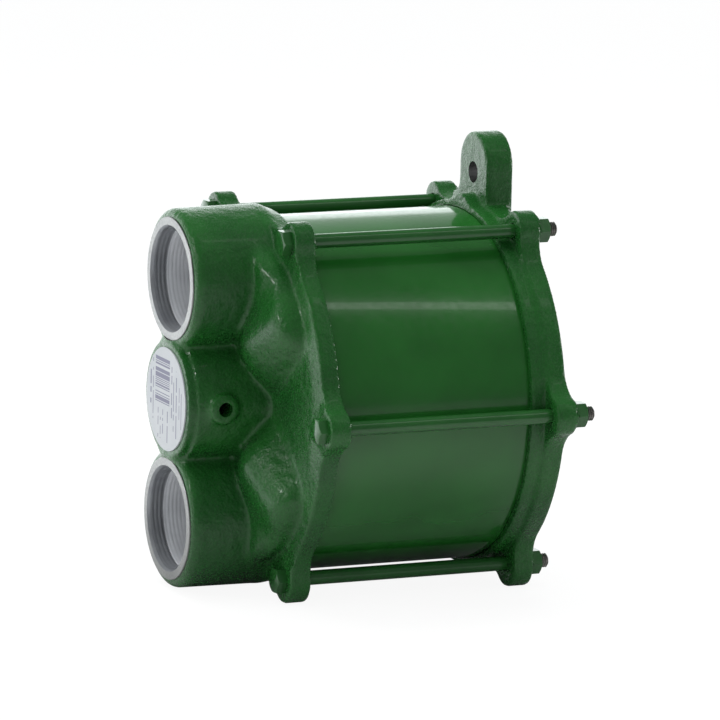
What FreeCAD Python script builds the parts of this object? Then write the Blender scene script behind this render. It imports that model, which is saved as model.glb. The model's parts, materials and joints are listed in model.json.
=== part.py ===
"""Self-priming pump for a tractor's power take-off.

Two cast covers clamp a round steel casing tube between them with six tie bolts. The front cover
carries the two threaded ports, the rear cover carries a cup-shaped gear case and the splined
drive hub. A planetary step-up gear in the cup drives the pump shaft and its closed impeller six
times faster than the hub.

All sizes are millimetres. The pump axis is Y, the ports look along -Y and +Z is up. The origin
is on the pump axis at the mouth of the drive hub.
"""
import FreeCAD, Part
import math
import os

# Lengths along the axis, from the hub mouth forward
HUB_REACH = 28.0
FLANGE_THICK = 12.0
TUBE_VISIBLE = 121.0
PORT_REACH = 46.0
LABEL_PROUD = 2.2
PORT_RING_PROUD = 0.8

# Casing tube
TUBE_OUTER_R = 98.0
TUBE_WALL = 4.0
TUBE_ENTRY = 4.0
TUBE_SEAL_THICK = 2.0
TUBE_SIDE_GAP = 0.15
TUBE_INNER_R = TUBE_OUTER_R - TUBE_WALL

# Tie bolts, M8
BOLT_R = 4.0
BOLT_TO_TUBE = 5.35
BOLT_CIRCLE_R = TUBE_OUTER_R + BOLT_TO_TUBE + BOLT_R
BOLT_HOLE_GAP = 0.5
BOLT_HEAD_FLATS = 13.0
BOLT_HEAD_HIGH = 5.3
BOLT_WASHER_R = 8.5
BOLT_WASHER_THICK = 1.8
BOLT_NUT_HIGH = 6.5
BOLT_END_PROUD = 5.2

# Flange outline
FLANGE_BEYOND_TUBE = 5.0
VALLEY_R = TUBE_OUTER_R + FLANGE_BEYOND_TUBE
LOBE_R = 11.0
FOOT_LOBE_R = 12.85
LOBE_BLEND_R = 20.0
FLANGE_EDGE_BEVEL = 1.3
LOBE_COUNT = 6
FOOT_LOBES = (4, 5)

# Ports and bosses of the front cover
PORT_OFFSET = 66.7
PORT_THREAD_R = 28.33
PORT_THREAD_DEPTH = 24.0
PORT_RING_WALL = 3.0
PORT_ENTRY_BEVEL = 1.87
PORT_ENTRY_DEPTH = 1.6
PORT_STEP = 4.33
PORT_WALL = 9.87
PORT_BOSS_TAPER = 0.7
PORT_BOSS_ROUND = 4.6
PORT_BOSS_BACK_ROUND = 5.0
PORT_BOSS_INTO_FLANGE = 6.0
PORT_PASSAGE_R = PORT_THREAD_R - PORT_STEP
PORT_ENTRY_R = PORT_THREAD_R + PORT_ENTRY_BEVEL
PORT_RING_R = PORT_ENTRY_R + PORT_RING_WALL
PORT_BOSS_R = PORT_THREAD_R + PORT_WALL
PORT_BOSS_BACK_R = PORT_BOSS_R + PORT_BOSS_TAPER
CENTRE_BOSS_R = 33.0
CENTRE_BOSS_BEVEL = 2.0
LABEL_MARGIN = 4.5
LABEL_R = CENTRE_BOSS_R - LABEL_MARGIN
LABEL_THICK = 0.8
CENTRE_STEP = 1.0
CENTRE_CAP_LONG = 4.8
FLANK_RIB_R = 9.6
FLANK_RIB_SINK = 5.0
FLANK_RIB_X = CENTRE_BOSS_R - FLANK_RIB_SINK
FLANK_RIB_FROM_PORT = 9.0
FLANK_RIB_ROUND = 4.0

# Sloping skirts round the two ports, held inside the flange's rim
SKIRT_FROM_BOSS = 5.1
SKIRT_REACH = 13.0
SKIRT_SLOPE = 2.26
SKIRT_INSET = 5.0
SKIRT_FRONT_R = PORT_BOSS_BACK_R + SKIRT_FROM_BOSS
SKIRT_BODY_R = VALLEY_R - SKIRT_INSET

# Rounded channel humps, each from a port's flank out towards the rim
HUMP_FROM_BOSS = 1.1
HUMP_ROOT_SHARE = 0.517
HUMP_ROOT_R = 17.5
HUMP_ROOT_PROUD = 0.5
HUMP_RUN_X = 22.0
HUMP_RUN_Z = 13.5
HUMP_TIP_R = 16.5
HUMP_TIP_SINK = 2.5
HUMP_ROOT_X = PORT_BOSS_BACK_R + HUMP_FROM_BOSS
HUMP_ROOT_Z = PORT_OFFSET * HUMP_ROOT_SHARE

# Priming hole on the side of the centre boss
PRIMING_BOSS_R = 8.0
PRIMING_BOSS_PROUD = 4.0
PRIMING_BOSS_X = CENTRE_BOSS_R + PRIMING_BOSS_PROUD
PRIMING_FROM_PORT = 17.6
PRIMING_HOLE_R = 4.0

# Water ways inside the front cover
EYE_WALL = 9.0
EYE_CHAMBER_R = CENTRE_BOSS_R - EYE_WALL
WAY_WALL = 8.0
WAY_ROOF = 6.0
WAY_SIDE_STEP = 4.0
WAY_HALF = EYE_CHAMBER_R - WAY_SIDE_STEP
EYE_WAY_FROM_PORT = 12.0
EYE_STEP = 3.0
EYE_R = EYE_CHAMBER_R - EYE_STEP

# Impeller, diffuser and wear ring
DIFFUSER_TO_TUBE = 4.0
DIFFUSER_WIDE = 17.5
IMPELLER_TIP_GAP = 2.5
DIFFUSER_R = TUBE_INNER_R - DIFFUSER_TO_TUBE
DIFFUSER_INNER_R = DIFFUSER_R - DIFFUSER_WIDE
IMPELLER_R = DIFFUSER_INNER_R - IMPELLER_TIP_GAP
PILLAR_CIRCLE_R = DIFFUSER_R - DIFFUSER_WIDE / 2
PILLAR_R = 6.5
IMPELLER_GAP = 5.0
SHROUD_THICK = 3.0
VANE_HIGH = 12.0
VANE_THICK = 3.5
VANE_COUNT = 6
VANE_FROM_EYE = 4.0
VANE_SWEEP = 75.0
VANE_TIP_INSET = 0.5
VANE_MID_SHARE = 0.58
VANE_LEAN = 1.25
EYE_NECK_WALL = 3.0
EYE_NECK_R = EYE_R + EYE_NECK_WALL
WEAR_RING_WALL = 3.0
WEAR_RING_GAP = 0.3
WEAR_RING_SEAT = 4.0
DIFFUSER_PLATE = 5.0
DIFFUSER_VANES = 6
DIFFUSER_VANE_THICK = 5.0
DIFFUSER_VANE_START = 49.0
DIFFUSER_SWEEP = -28.0
DIFFUSER_TIP_INSET = 1.0
DIFFUSER_GAP = 1.6
RUNNING_GAP = 0.4

# Inner screws, M6 socket head, and M5 carrier screws
SCREW_R = 3.0
SCREW_HOLE_GAP = 0.3
SCREW_HEAD_R = 5.0
SCREW_HEAD_HIGH = 6.0
SCREW_BITE = 7.0
SCREW_SOCKET_FLATS = 5.0
SCREW_SOCKET_DEEP = 3.0

# Pump shaft
SHAFT_R = 10.0
IMPELLER_SEAT_STEP = 1.0
IMPELLER_SEAT_R = SHAFT_R - IMPELLER_SEAT_STEP
IMPELLER_HUB_WALL = 6.0
IMPELLER_HUB_R = IMPELLER_SEAT_R + IMPELLER_HUB_WALL
IMPELLER_HUB_LONG = 18.0
SHAFT_THREAD_R = 6.0
SHAFT_THREAD_PROUD = 2.0
SHAFT_NUT_FLATS = 19.0
SHAFT_NUT_HIGH = 10.0
SHAFT_WASHER_R = 12.0
SHAFT_WASHER_THICK = 2.0
KEY_WIDE = 6.0
KEY_LONG = 12.0
KEY_DEEP = 3.0
SHAFT_CLIP_THICK = 1.2
SHAFT_CLIP_RISE = 3.0
SHAFT_CLIP_R = SHAFT_R + SHAFT_CLIP_RISE
SHAFT_CLIP_GROOVE = 1.0
PILOT_R = 7.5
PILOT_SETBACK = 1.0
PILOT_BUSH_WALL = 3.0
PILOT_BUSH_LONG = 9.0

# Shaft seal between water and oil
BELLOWS_RISE = 6.0
BELLOWS_WAIST_RISE = 3.5
BELLOWS_FOLDS = 3
SEAL_FACE_WALL = 5.0
SEAL_FACE_LONG = 3.5
SEAL_SEAT_R = 17.5
SEAL_SEAT_LONG = 6.0
SEAL_SEAT_GAP = 1.0
LIP_SEAL_R = 17.5
LIP_SEAL_WIDE = 7.0
LIP_THICK = 1.6
LIP_ROOT = 2.0 * LIP_THICK
LIP_NECK = 3.0 * LIP_THICK
LIP_THROAT = 2.4 * LIP_THICK
SEAL_SHOULDER = 0.5

# Ball bearing of the pump shaft
SHAFT_BEARING_R = 23.5
SHAFT_BEARING_WIDE = 14.0
SHAFT_BEARING_BALLS = 7
RACE_LAND = 0.29
RACE_GROOVE = 0.085
RACE_HALF_WIDE = 0.28
BALL_GAP = 0.03

# Roller bearings of the drive hub
HUB_NECK_R = 22.5
HUB_RACE_WALL = 3.9
ROLLER_R = 3.6
ROLLER_LONG = 7.0
ROLLER_RIB = 1.6
ROLLER_CIRCLE_R = HUB_NECK_R + HUB_RACE_WALL + ROLLER_R
HUB_BEARING_R = ROLLER_CIRCLE_R + ROLLER_R + HUB_RACE_WALL
HUB_BEARING_WIDE = 10.0
HUB_BEARING_ROLLERS = 14

# Planetary step-up gear
MODULE = 2.0
PRESSURE_ANGLE = math.radians(25.0)
SUN_TEETH = 12
PLANET_TEETH = 24
PLANET_COUNT = 3
BACKLASH = 0.28
TIP_HEIGHT = 0.95
ROOT_DEPTH = 1.25
GEAR_WIDE = 20.0
RING_RIM = 8.5
PLANET_PIN_R = 6.0
BUSH_WALL = 2.5
BUSH_GAP = 0.05
GEAR_FACE_GAP = 1.0
FIRST_PLANET_ANGLE = 90.0
PLANET_CENTRE_R = MODULE * (SUN_TEETH + PLANET_TEETH) / 2
RING_TEETH = SUN_TEETH + 2 * PLANET_TEETH
RING_TIP_R = MODULE * (RING_TEETH / 2 - TIP_HEIGHT)
RING_OUTER_R = MODULE * (RING_TEETH / 2 + ROOT_DEPTH) + RING_RIM
BUSH_OUTER_R = PLANET_PIN_R + BUSH_GAP + BUSH_WALL

# Planet carrier
CARRIER_GAP = 1.6
CARRIER_R = RING_TIP_R - CARRIER_GAP
CARRIER_BORE_GAP = 1.0
CARRIER_PLATE = 6.0
HUB_PLATE = 8.0
CARRIER_PILLAR_R = 7.0
CARRIER_PILLAR_INSET = 1.5
CARRIER_PILLAR_CIRCLE_R = CARRIER_R - CARRIER_PILLAR_INSET - CARRIER_PILLAR_R
CARRIER_SCREW_R = 2.5
CARRIER_SCREW_HEAD_R = 4.25
CARRIER_SCREW_HEAD_HIGH = 4.0
CARRIER_SCREW_BITE = 12.0

# Gear case, cast in one with the rear cover, and its front plate
CASE_WALL = 13.0
CASE_PLATE = 8.0
CASE_NOSE_WALL = 6.5
CASE_BEARING_WALL = 6.0
GASKET_THICK = 1.0
CASE_FRONT_ROOM = 2.0
CASE_SHOULDER = 4.0
CASE_PLATE_LAP = 2.0
CASE_OUTER_R = RING_OUTER_R + CASE_WALL
CASE_NOSE_R = SEAL_SEAT_R + CASE_NOSE_WALL
CASE_SCREW_CIRCLE_R = RING_OUTER_R + CASE_WALL / 2

# Rear cover outside
BOSS_WALL = 7.5
BOSS_R = HUB_BEARING_R + BOSS_WALL
BOSS_REACH = 18.0
BOSS_BEVEL = 2.0
REAR_POCKET_MARGIN = 2.0
REAR_POCKET_R = CASE_OUTER_R + REAR_POCKET_MARGIN
REAR_POCKET_DEEP = 6.0
REAR_RIB_WIDE = 8.0
REAR_RIB_RISE = 5.0
REAR_RIB_SINK = 2.0
COLLAR_WALL = 3.2
COLLAR_LONG = 8.0
COLLAR_GAP = 0.4
PAD_R = 20.0
PAD_PROUD = 2.5
PAD_TOP = VALLEY_R + PAD_PROUD

# Torque lug on top of the rear flange
LUG_THICK = 16.0
LUG_HALF = 18.5
LUG_HIGH = 37.0
LUG_TOP = VALLEY_R + LUG_HIGH
LUG_HOLE_R = 6.0
LUG_HOLE_DROP = 22.5
LUG_HOLE_Z = LUG_TOP - LUG_HOLE_DROP
LUG_FLARE = 9.0
LUG_FLARE_HIGH = 9.0

# Drive hub, six-spline for a 1 3/8 inch shaft
SPLINE_MINOR_R = 14.87
SPLINE_MAJOR_R = 17.475
SPLINE_GROOVE = 8.75
SPLINE_COUNT = 6
SPLINE_DEPTH = 41.0
HUB_END_STEP = 0.5
HUB_END_R = HUB_NECK_R - HUB_END_STEP
HUB_END_LONG = 9.0
HUB_SHOULDER_RISE = 3.5
HUB_SHOULDER_R = HUB_NECK_R + HUB_SHOULDER_RISE
HUB_SHOULDER = 2.0
HUB_CLIP_THICK = 1.5
HUB_CLIP_RISE = 3.0
HUB_CLIP_GROOVE = 1.0
HUB_BEARING_GAP = 4.0
OIL_SEAL_STEP = 2.5
OIL_SEAL_R = HUB_BEARING_R - OIL_SEAL_STEP
OIL_SEAL_WIDE = 8.0
SEAL_TO_BOSS_END = 2.0

# Oil plugs in the rear face
PLUG_R = 6.5
PLUG_FLATS = 17.0
PLUG_HEAD_HIGH = 5.0
PLUG_WASHER_R = 9.5
PLUG_WASHER_THICK = 1.5
PLUG_TO_BOSS = 15.0
PLUG_CIRCLE_R = BOSS_R + PLUG_TO_BOSS
PLUG_ANGLES = (90.0, 270.0, 330.0)

# Planes across the axis
Y_REAR = -HUB_REACH
Y_REAR_FRONT = Y_REAR - FLANGE_THICK
Y_FRONT_BACK = Y_REAR_FRONT - TUBE_VISIBLE
Y_FRONT = Y_FRONT_BACK - FLANGE_THICK
Y_PORT = Y_FRONT - PORT_REACH
Y_PORT_RING = Y_PORT - PORT_RING_PROUD
Y_LABEL = Y_PORT - LABEL_PROUD
Y_CENTRE_BOSS = Y_LABEL + LABEL_THICK
Y_THREAD_END = Y_PORT_RING + PORT_THREAD_DEPTH
Y_SKIRT = Y_FRONT - SKIRT_REACH
Y_BOSS_END = Y_REAR + BOSS_REACH

# Impeller stack, counted back from the front cover's inner face
Y_IMPELLER = Y_FRONT_BACK + IMPELLER_GAP
Y_VANES = Y_IMPELLER + SHROUD_THICK
Y_BACK_SHROUD = Y_VANES + VANE_HIGH
Y_IMPELLER_BACK = Y_BACK_SHROUD + SHROUD_THICK
Y_DIFFUSER = Y_IMPELLER_BACK + DIFFUSER_GAP
Y_DIFFUSER_BACK = Y_DIFFUSER + DIFFUSER_PLATE
Y_IMPELLER_SEAT = Y_DIFFUSER_BACK + RUNNING_GAP
Y_IMPELLER_NOSE = Y_IMPELLER_SEAT - IMPELLER_HUB_LONG

# Hub and carrier stack, counted forward from the end of the bearing boss
Y_OIL_SEAL = Y_BOSS_END - SEAL_TO_BOSS_END - OIL_SEAL_WIDE
Y_HUB_CLIP = Y_OIL_SEAL - SEAL_TO_BOSS_END
Y_HUB_BEARING_REAR = Y_HUB_CLIP - HUB_BEARING_WIDE
Y_HUB_BEARING_FRONT = Y_HUB_BEARING_REAR - HUB_BEARING_GAP - HUB_BEARING_WIDE
Y_HUB_PLATE_BACK = Y_HUB_BEARING_FRONT - HUB_SHOULDER
Y_HUB_PLATE = Y_HUB_PLATE_BACK - HUB_PLATE
Y_GEARS_BACK = Y_HUB_PLATE - GEAR_FACE_GAP
Y_GEARS = Y_GEARS_BACK - GEAR_WIDE
Y_CARRIER_BACK = Y_GEARS - GEAR_FACE_GAP
Y_CARRIER = Y_CARRIER_BACK - CARRIER_PLATE
Y_SHAFT_BEARING_BACK = Y_CARRIER - CASE_FRONT_ROOM
Y_SHAFT_BEARING = Y_SHAFT_BEARING_BACK - SHAFT_BEARING_WIDE
Y_LIP_SEAL = Y_SHAFT_BEARING - LIP_SEAL_WIDE
Y_SEAL_SEAT_BACK = Y_LIP_SEAL - SEAL_SHOULDER
Y_SEAL_SEAT = Y_SEAL_SEAT_BACK - SEAL_SEAT_LONG
Y_SEAL_FACE = Y_SEAL_SEAT - SEAL_FACE_LONG
Y_CASE_PLATE_BACK = Y_SHAFT_BEARING + CASE_PLATE_LAP
Y_CASE_PLATE = Y_CASE_PLATE_BACK - CASE_PLATE
Y_CASE_NOSE = Y_SEAL_SEAT - SEAL_SHOULDER
Y_CASE_RIM = Y_CASE_PLATE_BACK + GASKET_THICK
Y_CASE_FLOOR = Y_HUB_BEARING_FRONT
Y_PILOT_BUSH = Y_GEARS_BACK + PILOT_SETBACK
Y_PILOT_END = Y_PILOT_BUSH + PILOT_BUSH_LONG + GEAR_FACE_GAP

# Angles round the axis, counted from +X towards +Z
PLANET_ANGLES = [FIRST_PLANET_ANGLE + 360.0 * k / PLANET_COUNT for k in range(PLANET_COUNT)]
PILLAR_ANGLES = [angle + 180.0 / PLANET_COUNT for angle in PLANET_ANGLES]
LOBE_ANGLES = [360.0 * k / LOBE_COUNT for k in range(LOBE_COUNT)]


def vec(x, y, z):
    """A point or a direction."""
    return FreeCAD.Vector(x, y, z)


def polar(radius, degrees, y=0.0):
    """A point at a radius and an angle round the axis, counted from +X towards +Z."""
    angle = math.radians(degrees)
    return vec(radius * math.cos(angle), y, radius * math.sin(angle))


def rod(radius, y0, y1, x=0.0, z=0.0):
    """A plain cylinder along the axis from y0 to y1."""
    return Part.makeCylinder(radius, y1 - y0, vec(x, y0, z), vec(0, 1, 0))


def tube(outer, inner, y0, y1, x=0.0, z=0.0):
    """A plain ring along the axis."""
    return rod(outer, y0, y1, x, z).cut(rod(inner, y0 - 1, y1 + 1, x, z))


def turned(points):
    """A solid turned about the axis from a closed outline of (radius, y) points."""
    corners = [vec(r, y, 0) for r, y in points]
    face = Part.Face(Part.makePolygon(corners + corners[:1]))
    return face.revolve(vec(0, 0, 0), vec(0, 1, 0), 360)


def spun(shape, degrees):
    """A copy turned about the axis, in the same sense as polar()."""
    copy = shape.copy()
    copy.rotate(vec(0, 0, 0), vec(0, -1, 0), degrees)
    return copy


def around(shape, angles):
    """Copies of a shape at several angles round the axis."""
    return [spun(shape, angle) for angle in angles]


def outline(edges, y0, y1):
    """A plate from a closed outline drawn at y0, carried on to y1."""
    return Part.Face(Part.Wire(edges)).extrude(vec(0, y1 - y0, 0))


def arc(a, b, c):
    """An arc through three points."""
    return Part.Arc(a, b, c).toShape()


def line(a, b):
    """A straight edge."""
    return Part.LineSegment(a, b).toShape()


def hexagon(flats, y0, y1, x=0.0, z=0.0):
    """A hexagonal prism, given across its flats."""
    corner = flats / math.sqrt(3)
    points = [vec(x, 0, z) + polar(corner, 60 * k, y0) for k in range(6)]
    edges = [line(points[k], points[(k + 1) % 6]) for k in range(6)]
    return outline(edges, y0, y1)


def softened(shape, radius, wanted):
    """A shape with the edges that meet a test rounded."""
    edges = [edge for edge in shape.Edges if wanted(edge)]
    return shape.makeFillet(radius, edges)


def bevelled(shape, width, wanted):
    """A shape with the edges that meet a test bevelled."""
    edges = [edge for edge in shape.Edges if wanted(edge)]
    return shape.makeChamfer(width, edges)


def lies_at(y):
    """A test for edges that lie wholly in one plane across the axis."""
    return lambda edge: abs(edge.BoundBox.YMin - y) < 1e-4 and abs(edge.BoundBox.YMax - y) < 1e-4


def lobe_radius(index):
    """The two lowest lobes are fuller, and serve as feet."""
    return FOOT_LOBE_R if index in FOOT_LOBES else LOBE_R


def lobe_half_angle(index):
    """The angle from a lobe's middle to where its hollow blend meets the round flange."""
    blend_r = VALLEY_R + LOBE_BLEND_R
    reach = lobe_radius(index) + LOBE_BLEND_R
    cosine = (BOLT_CIRCLE_R ** 2 + blend_r ** 2 - reach ** 2) / (2 * BOLT_CIRCLE_R * blend_r)
    return math.degrees(math.acos(cosine))


def lobe_flank(index, side, y0):
    """The hollow blend on one side of a lobe: its end on the flange, its middle, its end on the lobe."""
    angle = LOBE_ANGLES[index] + side * lobe_half_angle(index)
    centre = polar(BOLT_CIRCLE_R, LOBE_ANGLES[index], y0)
    hollow = polar(VALLEY_R + LOBE_BLEND_R, angle, y0)
    valley = polar(VALLEY_R, angle, y0)
    lobe = centre + (hollow - centre).normalize() * lobe_radius(index)
    middle = hollow + ((valley + lobe) * 0.5 - hollow).normalize() * LOBE_BLEND_R
    return valley, middle, lobe


def flange_plate(y0, y1):
    """A round flange with a lobe round each tie bolt, blended by hollow arcs."""
    edges = []
    step = 360.0 / LOBE_COUNT
    for index, angle in enumerate(LOBE_ANGLES):
        valley_a, middle_a, lobe_a = lobe_flank(index, -1, y0)
        valley_b, middle_b, lobe_b = lobe_flank(index, 1, y0)
        tip = polar(BOLT_CIRCLE_R + lobe_radius(index), angle, y0)
        edges.append(arc(valley_a, middle_a, lobe_a))
        edges.append(arc(lobe_a, tip, lobe_b))
        edges.append(arc(lobe_b, middle_b, valley_b))
        start = angle + lobe_half_angle(index)
        end = angle + step - lobe_half_angle((index + 1) % LOBE_COUNT)
        edges.append(arc(valley_b, polar(VALLEY_R, (start + end) / 2, y0), polar(VALLEY_R, end, y0)))
    plate = outline(edges, y0, y1)
    return bevelled(plate, FLANGE_EDGE_BEVEL, lambda edge: lies_at(y0)(edge) or lies_at(y1)(edge))


def bolt_holes(y0, y1):
    """Clearance holes for the tie bolts."""
    hole = rod(BOLT_R + BOLT_HOLE_GAP, y0 - 1, y1 + 1, BOLT_CIRCLE_R)
    return around(hole, LOBE_ANGLES)


def tube_groove(y_face, towards):
    """The groove that takes one end of the casing tube and its seal, sunk into a flange."""
    depth = TUBE_ENTRY + TUBE_SEAL_THICK
    y0, y1 = sorted((y_face, y_face + towards * depth))
    return tube(TUBE_OUTER_R + TUBE_SIDE_GAP, TUBE_INNER_R - TUBE_SIDE_GAP, y0, y1)


def port_boss(z):
    """One round port boss with rounded ends, slightly wider towards the flange."""
    back = Y_FRONT + PORT_BOSS_INTO_FLANGE
    boss = Part.makeCone(PORT_BOSS_R, PORT_BOSS_BACK_R, back - Y_PORT, vec(0, Y_PORT, z), vec(0, 1, 0))
    boss = softened(boss, PORT_BOSS_ROUND, lies_at(Y_PORT))
    boss = softened(boss, PORT_BOSS_BACK_ROUND, lies_at(back))
    return boss.fuse(rod(PORT_RING_R, Y_PORT_RING, Y_PORT + PORT_BOSS_ROUND, 0, z))


def finger(root, tip, root_r, tip_r):
    """A round-ended tapered finger between two points."""
    reach = (tip - root).Length
    lean = math.asin((root_r - tip_r) / reach)
    root_turn = (lean - math.pi / 2) / 2
    tip_turn = (lean + math.pi / 2) / 2
    root_end = vec(root_r * math.cos(lean), root_r * math.sin(lean), 0)
    tip_end = vec(tip_r * math.cos(lean), reach + tip_r * math.sin(lean), 0)
    root_mid = vec(root_r * math.cos(root_turn), root_r * math.sin(root_turn), 0)
    tip_mid = vec(tip_r * math.cos(tip_turn), reach + tip_r * math.sin(tip_turn), 0)
    foot = vec(0, -root_r, 0)
    top = vec(0, reach + tip_r, 0)
    edges = [arc(foot, root_mid, root_end), line(root_end, tip_end), arc(tip_end, tip_mid, top), line(top, foot)]
    body = Part.Face(Part.Wire(edges)).revolve(vec(0, 0, 0), vec(0, 1, 0), 360)
    body.Placement = FreeCAD.Placement(root, FreeCAD.Rotation(vec(0, 1, 0), tip - root))
    return body


def humps():
    """The four channel humps, two each side of the ports, which open outwards like a V."""
    found = []
    for side in (1, -1):
        for lift in (1, -1):
            root = vec(side * HUMP_ROOT_X, Y_FRONT - HUMP_ROOT_PROUD, lift * HUMP_ROOT_Z)
            run = vec(side * HUMP_RUN_X, HUMP_ROOT_PROUD + HUMP_TIP_SINK, lift * HUMP_RUN_Z)
            found.append(finger(root, root + run, HUMP_ROOT_R, HUMP_TIP_R))
    return found


def skirts():
    """The sloping skirts round the two ports with the humps, held inside the flange's rim."""
    back = Y_FRONT + FLANGE_THICK / 2
    back_r = SKIRT_FRONT_R + SKIRT_SLOPE * (back - Y_SKIRT)
    cones = []
    for z in (PORT_OFFSET, -PORT_OFFSET):
        cones.append(Part.makeCone(SKIRT_FRONT_R, back_r, back - Y_SKIRT, vec(0, Y_SKIRT, z), vec(0, 1, 0)))
    body = cones[0].fuse(cones[1:] + humps())
    return body.common(rod(SKIRT_BODY_R, Y_PORT, back))


def centre_boss():
    """The round boss for the label, with a narrow step and a half-round rib on each flank."""
    cap = rod(CENTRE_BOSS_R, Y_CENTRE_BOSS, Y_FRONT)
    cap = bevelled(cap, CENTRE_BOSS_BEVEL, lies_at(Y_CENTRE_BOSS))
    y_step = Y_CENTRE_BOSS + CENTRE_CAP_LONG
    root = rod(CENTRE_BOSS_R + CENTRE_STEP, y_step, Y_FRONT + FLANGE_THICK / 2)
    root = bevelled(root, CENTRE_STEP / 2, lies_at(y_step))
    y_rib = Y_PORT + FLANK_RIB_FROM_PORT
    ribs = []
    for side in (1, -1):
        rib = rod(FLANK_RIB_R, y_rib, Y_FRONT + FLANGE_THICK / 2, side * FLANK_RIB_X)
        ribs.append(softened(rib, FLANK_RIB_ROUND, lies_at(y_rib)))
    return cap.fuse([root] + ribs)


def port_bore(z):
    """The threaded bore of a port, its entry chamfer and the passage behind it."""
    entry_end = Y_PORT_RING + PORT_ENTRY_DEPTH
    mouth = vec(0, Y_PORT_RING, z)
    entry = Part.makeCone(PORT_ENTRY_R, PORT_THREAD_R, PORT_ENTRY_DEPTH, mouth, vec(0, 1, 0))
    return entry.fuse(rod(PORT_THREAD_R, entry_end, Y_THREAD_END, 0, z))


def suction_way():
    """The flat channel from the upper port down to the round chamber before the impeller's eye."""
    y0 = Y_SKIRT + WAY_ROOF
    y1 = Y_FRONT_BACK - WAY_WALL
    flat = Part.makeBox(2 * WAY_HALF, y1 - y0, PORT_OFFSET, vec(-WAY_HALF, y0, 0))
    chamber = rod(EYE_CHAMBER_R, Y_PORT + EYE_WAY_FROM_PORT, y1)
    return flat.fuse([chamber, rod(EYE_CHAMBER_R, Y_THREAD_END - 1, y1, 0, PORT_OFFSET)])


def front_cover():
    """The cast front cover: lobed flange, skirts and humps, ports and centre boss."""
    cast = flange_plate(Y_FRONT, Y_FRONT_BACK)
    y_priming = Y_PORT + PRIMING_FROM_PORT
    priming = Part.makeCylinder(PRIMING_BOSS_R, PRIMING_BOSS_X, vec(0, y_priming, 0), vec(1, 0, 0))
    outside = [skirts(), port_boss(PORT_OFFSET), port_boss(-PORT_OFFSET), centre_boss(), priming]
    cast = cast.fuse(outside).removeSplitter()
    priming_hole = Part.makeCylinder(PRIMING_HOLE_R, PRIMING_BOSS_X + 1, vec(0, y_priming, 0), vec(1, 0, 0))
    ring_seat_r = EYE_NECK_R + WEAR_RING_GAP + WEAR_RING_WALL
    cuts = [port_bore(PORT_OFFSET), port_bore(-PORT_OFFSET), suction_way(), priming_hole]
    cuts.append(rod(PORT_PASSAGE_R, Y_THREAD_END - 1, Y_FRONT_BACK + 1, 0, -PORT_OFFSET))
    cuts.append(rod(EYE_R, Y_FRONT_BACK - WAY_WALL - 1, Y_FRONT_BACK + 1))
    cuts.append(rod(ring_seat_r, Y_FRONT_BACK - WEAR_RING_SEAT, Y_FRONT_BACK + 1))
    cuts += bolt_holes(Y_FRONT, Y_FRONT_BACK)
    cuts.append(tube_groove(Y_FRONT_BACK, -1))
    screw = rod(SCREW_R, Y_FRONT_BACK - SCREW_BITE, Y_FRONT_BACK + 1, PILLAR_CIRCLE_R)
    cuts += around(screw, LOBE_ANGLES)
    return cast.cut(cuts)


def label_disc():
    """The thin round label on the centre boss, left bare."""
    return rod(LABEL_R, Y_LABEL, Y_CENTRE_BOSS)


def torque_lug():
    """The upright lug with one hole, flared into the top of the rear flange."""
    y0 = Y_REAR_FRONT
    y1 = y0 + LUG_THICK
    crown_z = LUG_TOP - LUG_HALF
    flare_top = VALLEY_R + LUG_FLARE_HIGH
    foot_x = LUG_HALF + LUG_FLARE
    foot_z = math.sqrt(VALLEY_R ** 2 - foot_x ** 2) - FLANGE_EDGE_BEVEL
    bow = 1 - math.sqrt(0.5)
    edges = []
    flares = []
    for side in (1, -1):
        top = vec(side * LUG_HALF, y0, flare_top)
        middle = vec(side * (LUG_HALF + LUG_FLARE * bow), y0, foot_z + (flare_top - foot_z) * bow)
        flares.append((top, middle, vec(side * foot_x, y0, foot_z)))
    (right_top, right_mid, right_foot), (left_top, left_mid, left_foot) = flares
    right_crown = vec(LUG_HALF, y0, crown_z)
    left_crown = vec(-LUG_HALF, y0, crown_z)
    inner_z = VALLEY_R - FLANGE_THICK
    edges.append(line(vec(foot_x, y0, inner_z), right_foot))
    edges.append(arc(right_foot, right_mid, right_top))
    edges.append(line(right_top, right_crown))
    edges.append(arc(right_crown, vec(0, y0, LUG_TOP), left_crown))
    edges.append(line(left_crown, left_top))
    edges.append(arc(left_top, left_mid, left_foot))
    edges.append(line(left_foot, vec(-foot_x, y0, inner_z)))
    edges.append(line(vec(-foot_x, y0, inner_z), vec(foot_x, y0, inner_z)))
    return outline(edges, y0, y1)


def rear_ribs():
    """Radial ribs on the rear face, from the bearing boss out towards each tie bolt."""
    y0 = Y_REAR - REAR_POCKET_DEEP
    inner_r = BOSS_R - REAR_RIB_SINK
    outer_r = REAR_POCKET_R + REAR_RIB_SINK
    profile = [(inner_r, y0), (outer_r, y0), (outer_r, Y_REAR), (inner_r, Y_REAR + REAR_RIB_RISE)]
    corners = [vec(r, y, -REAR_RIB_WIDE / 2) for r, y in profile]
    face = Part.Face(Part.makePolygon(corners + corners[:1]))
    return around(face.extrude(vec(0, 0, REAR_RIB_WIDE)), LOBE_ANGLES)


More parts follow.
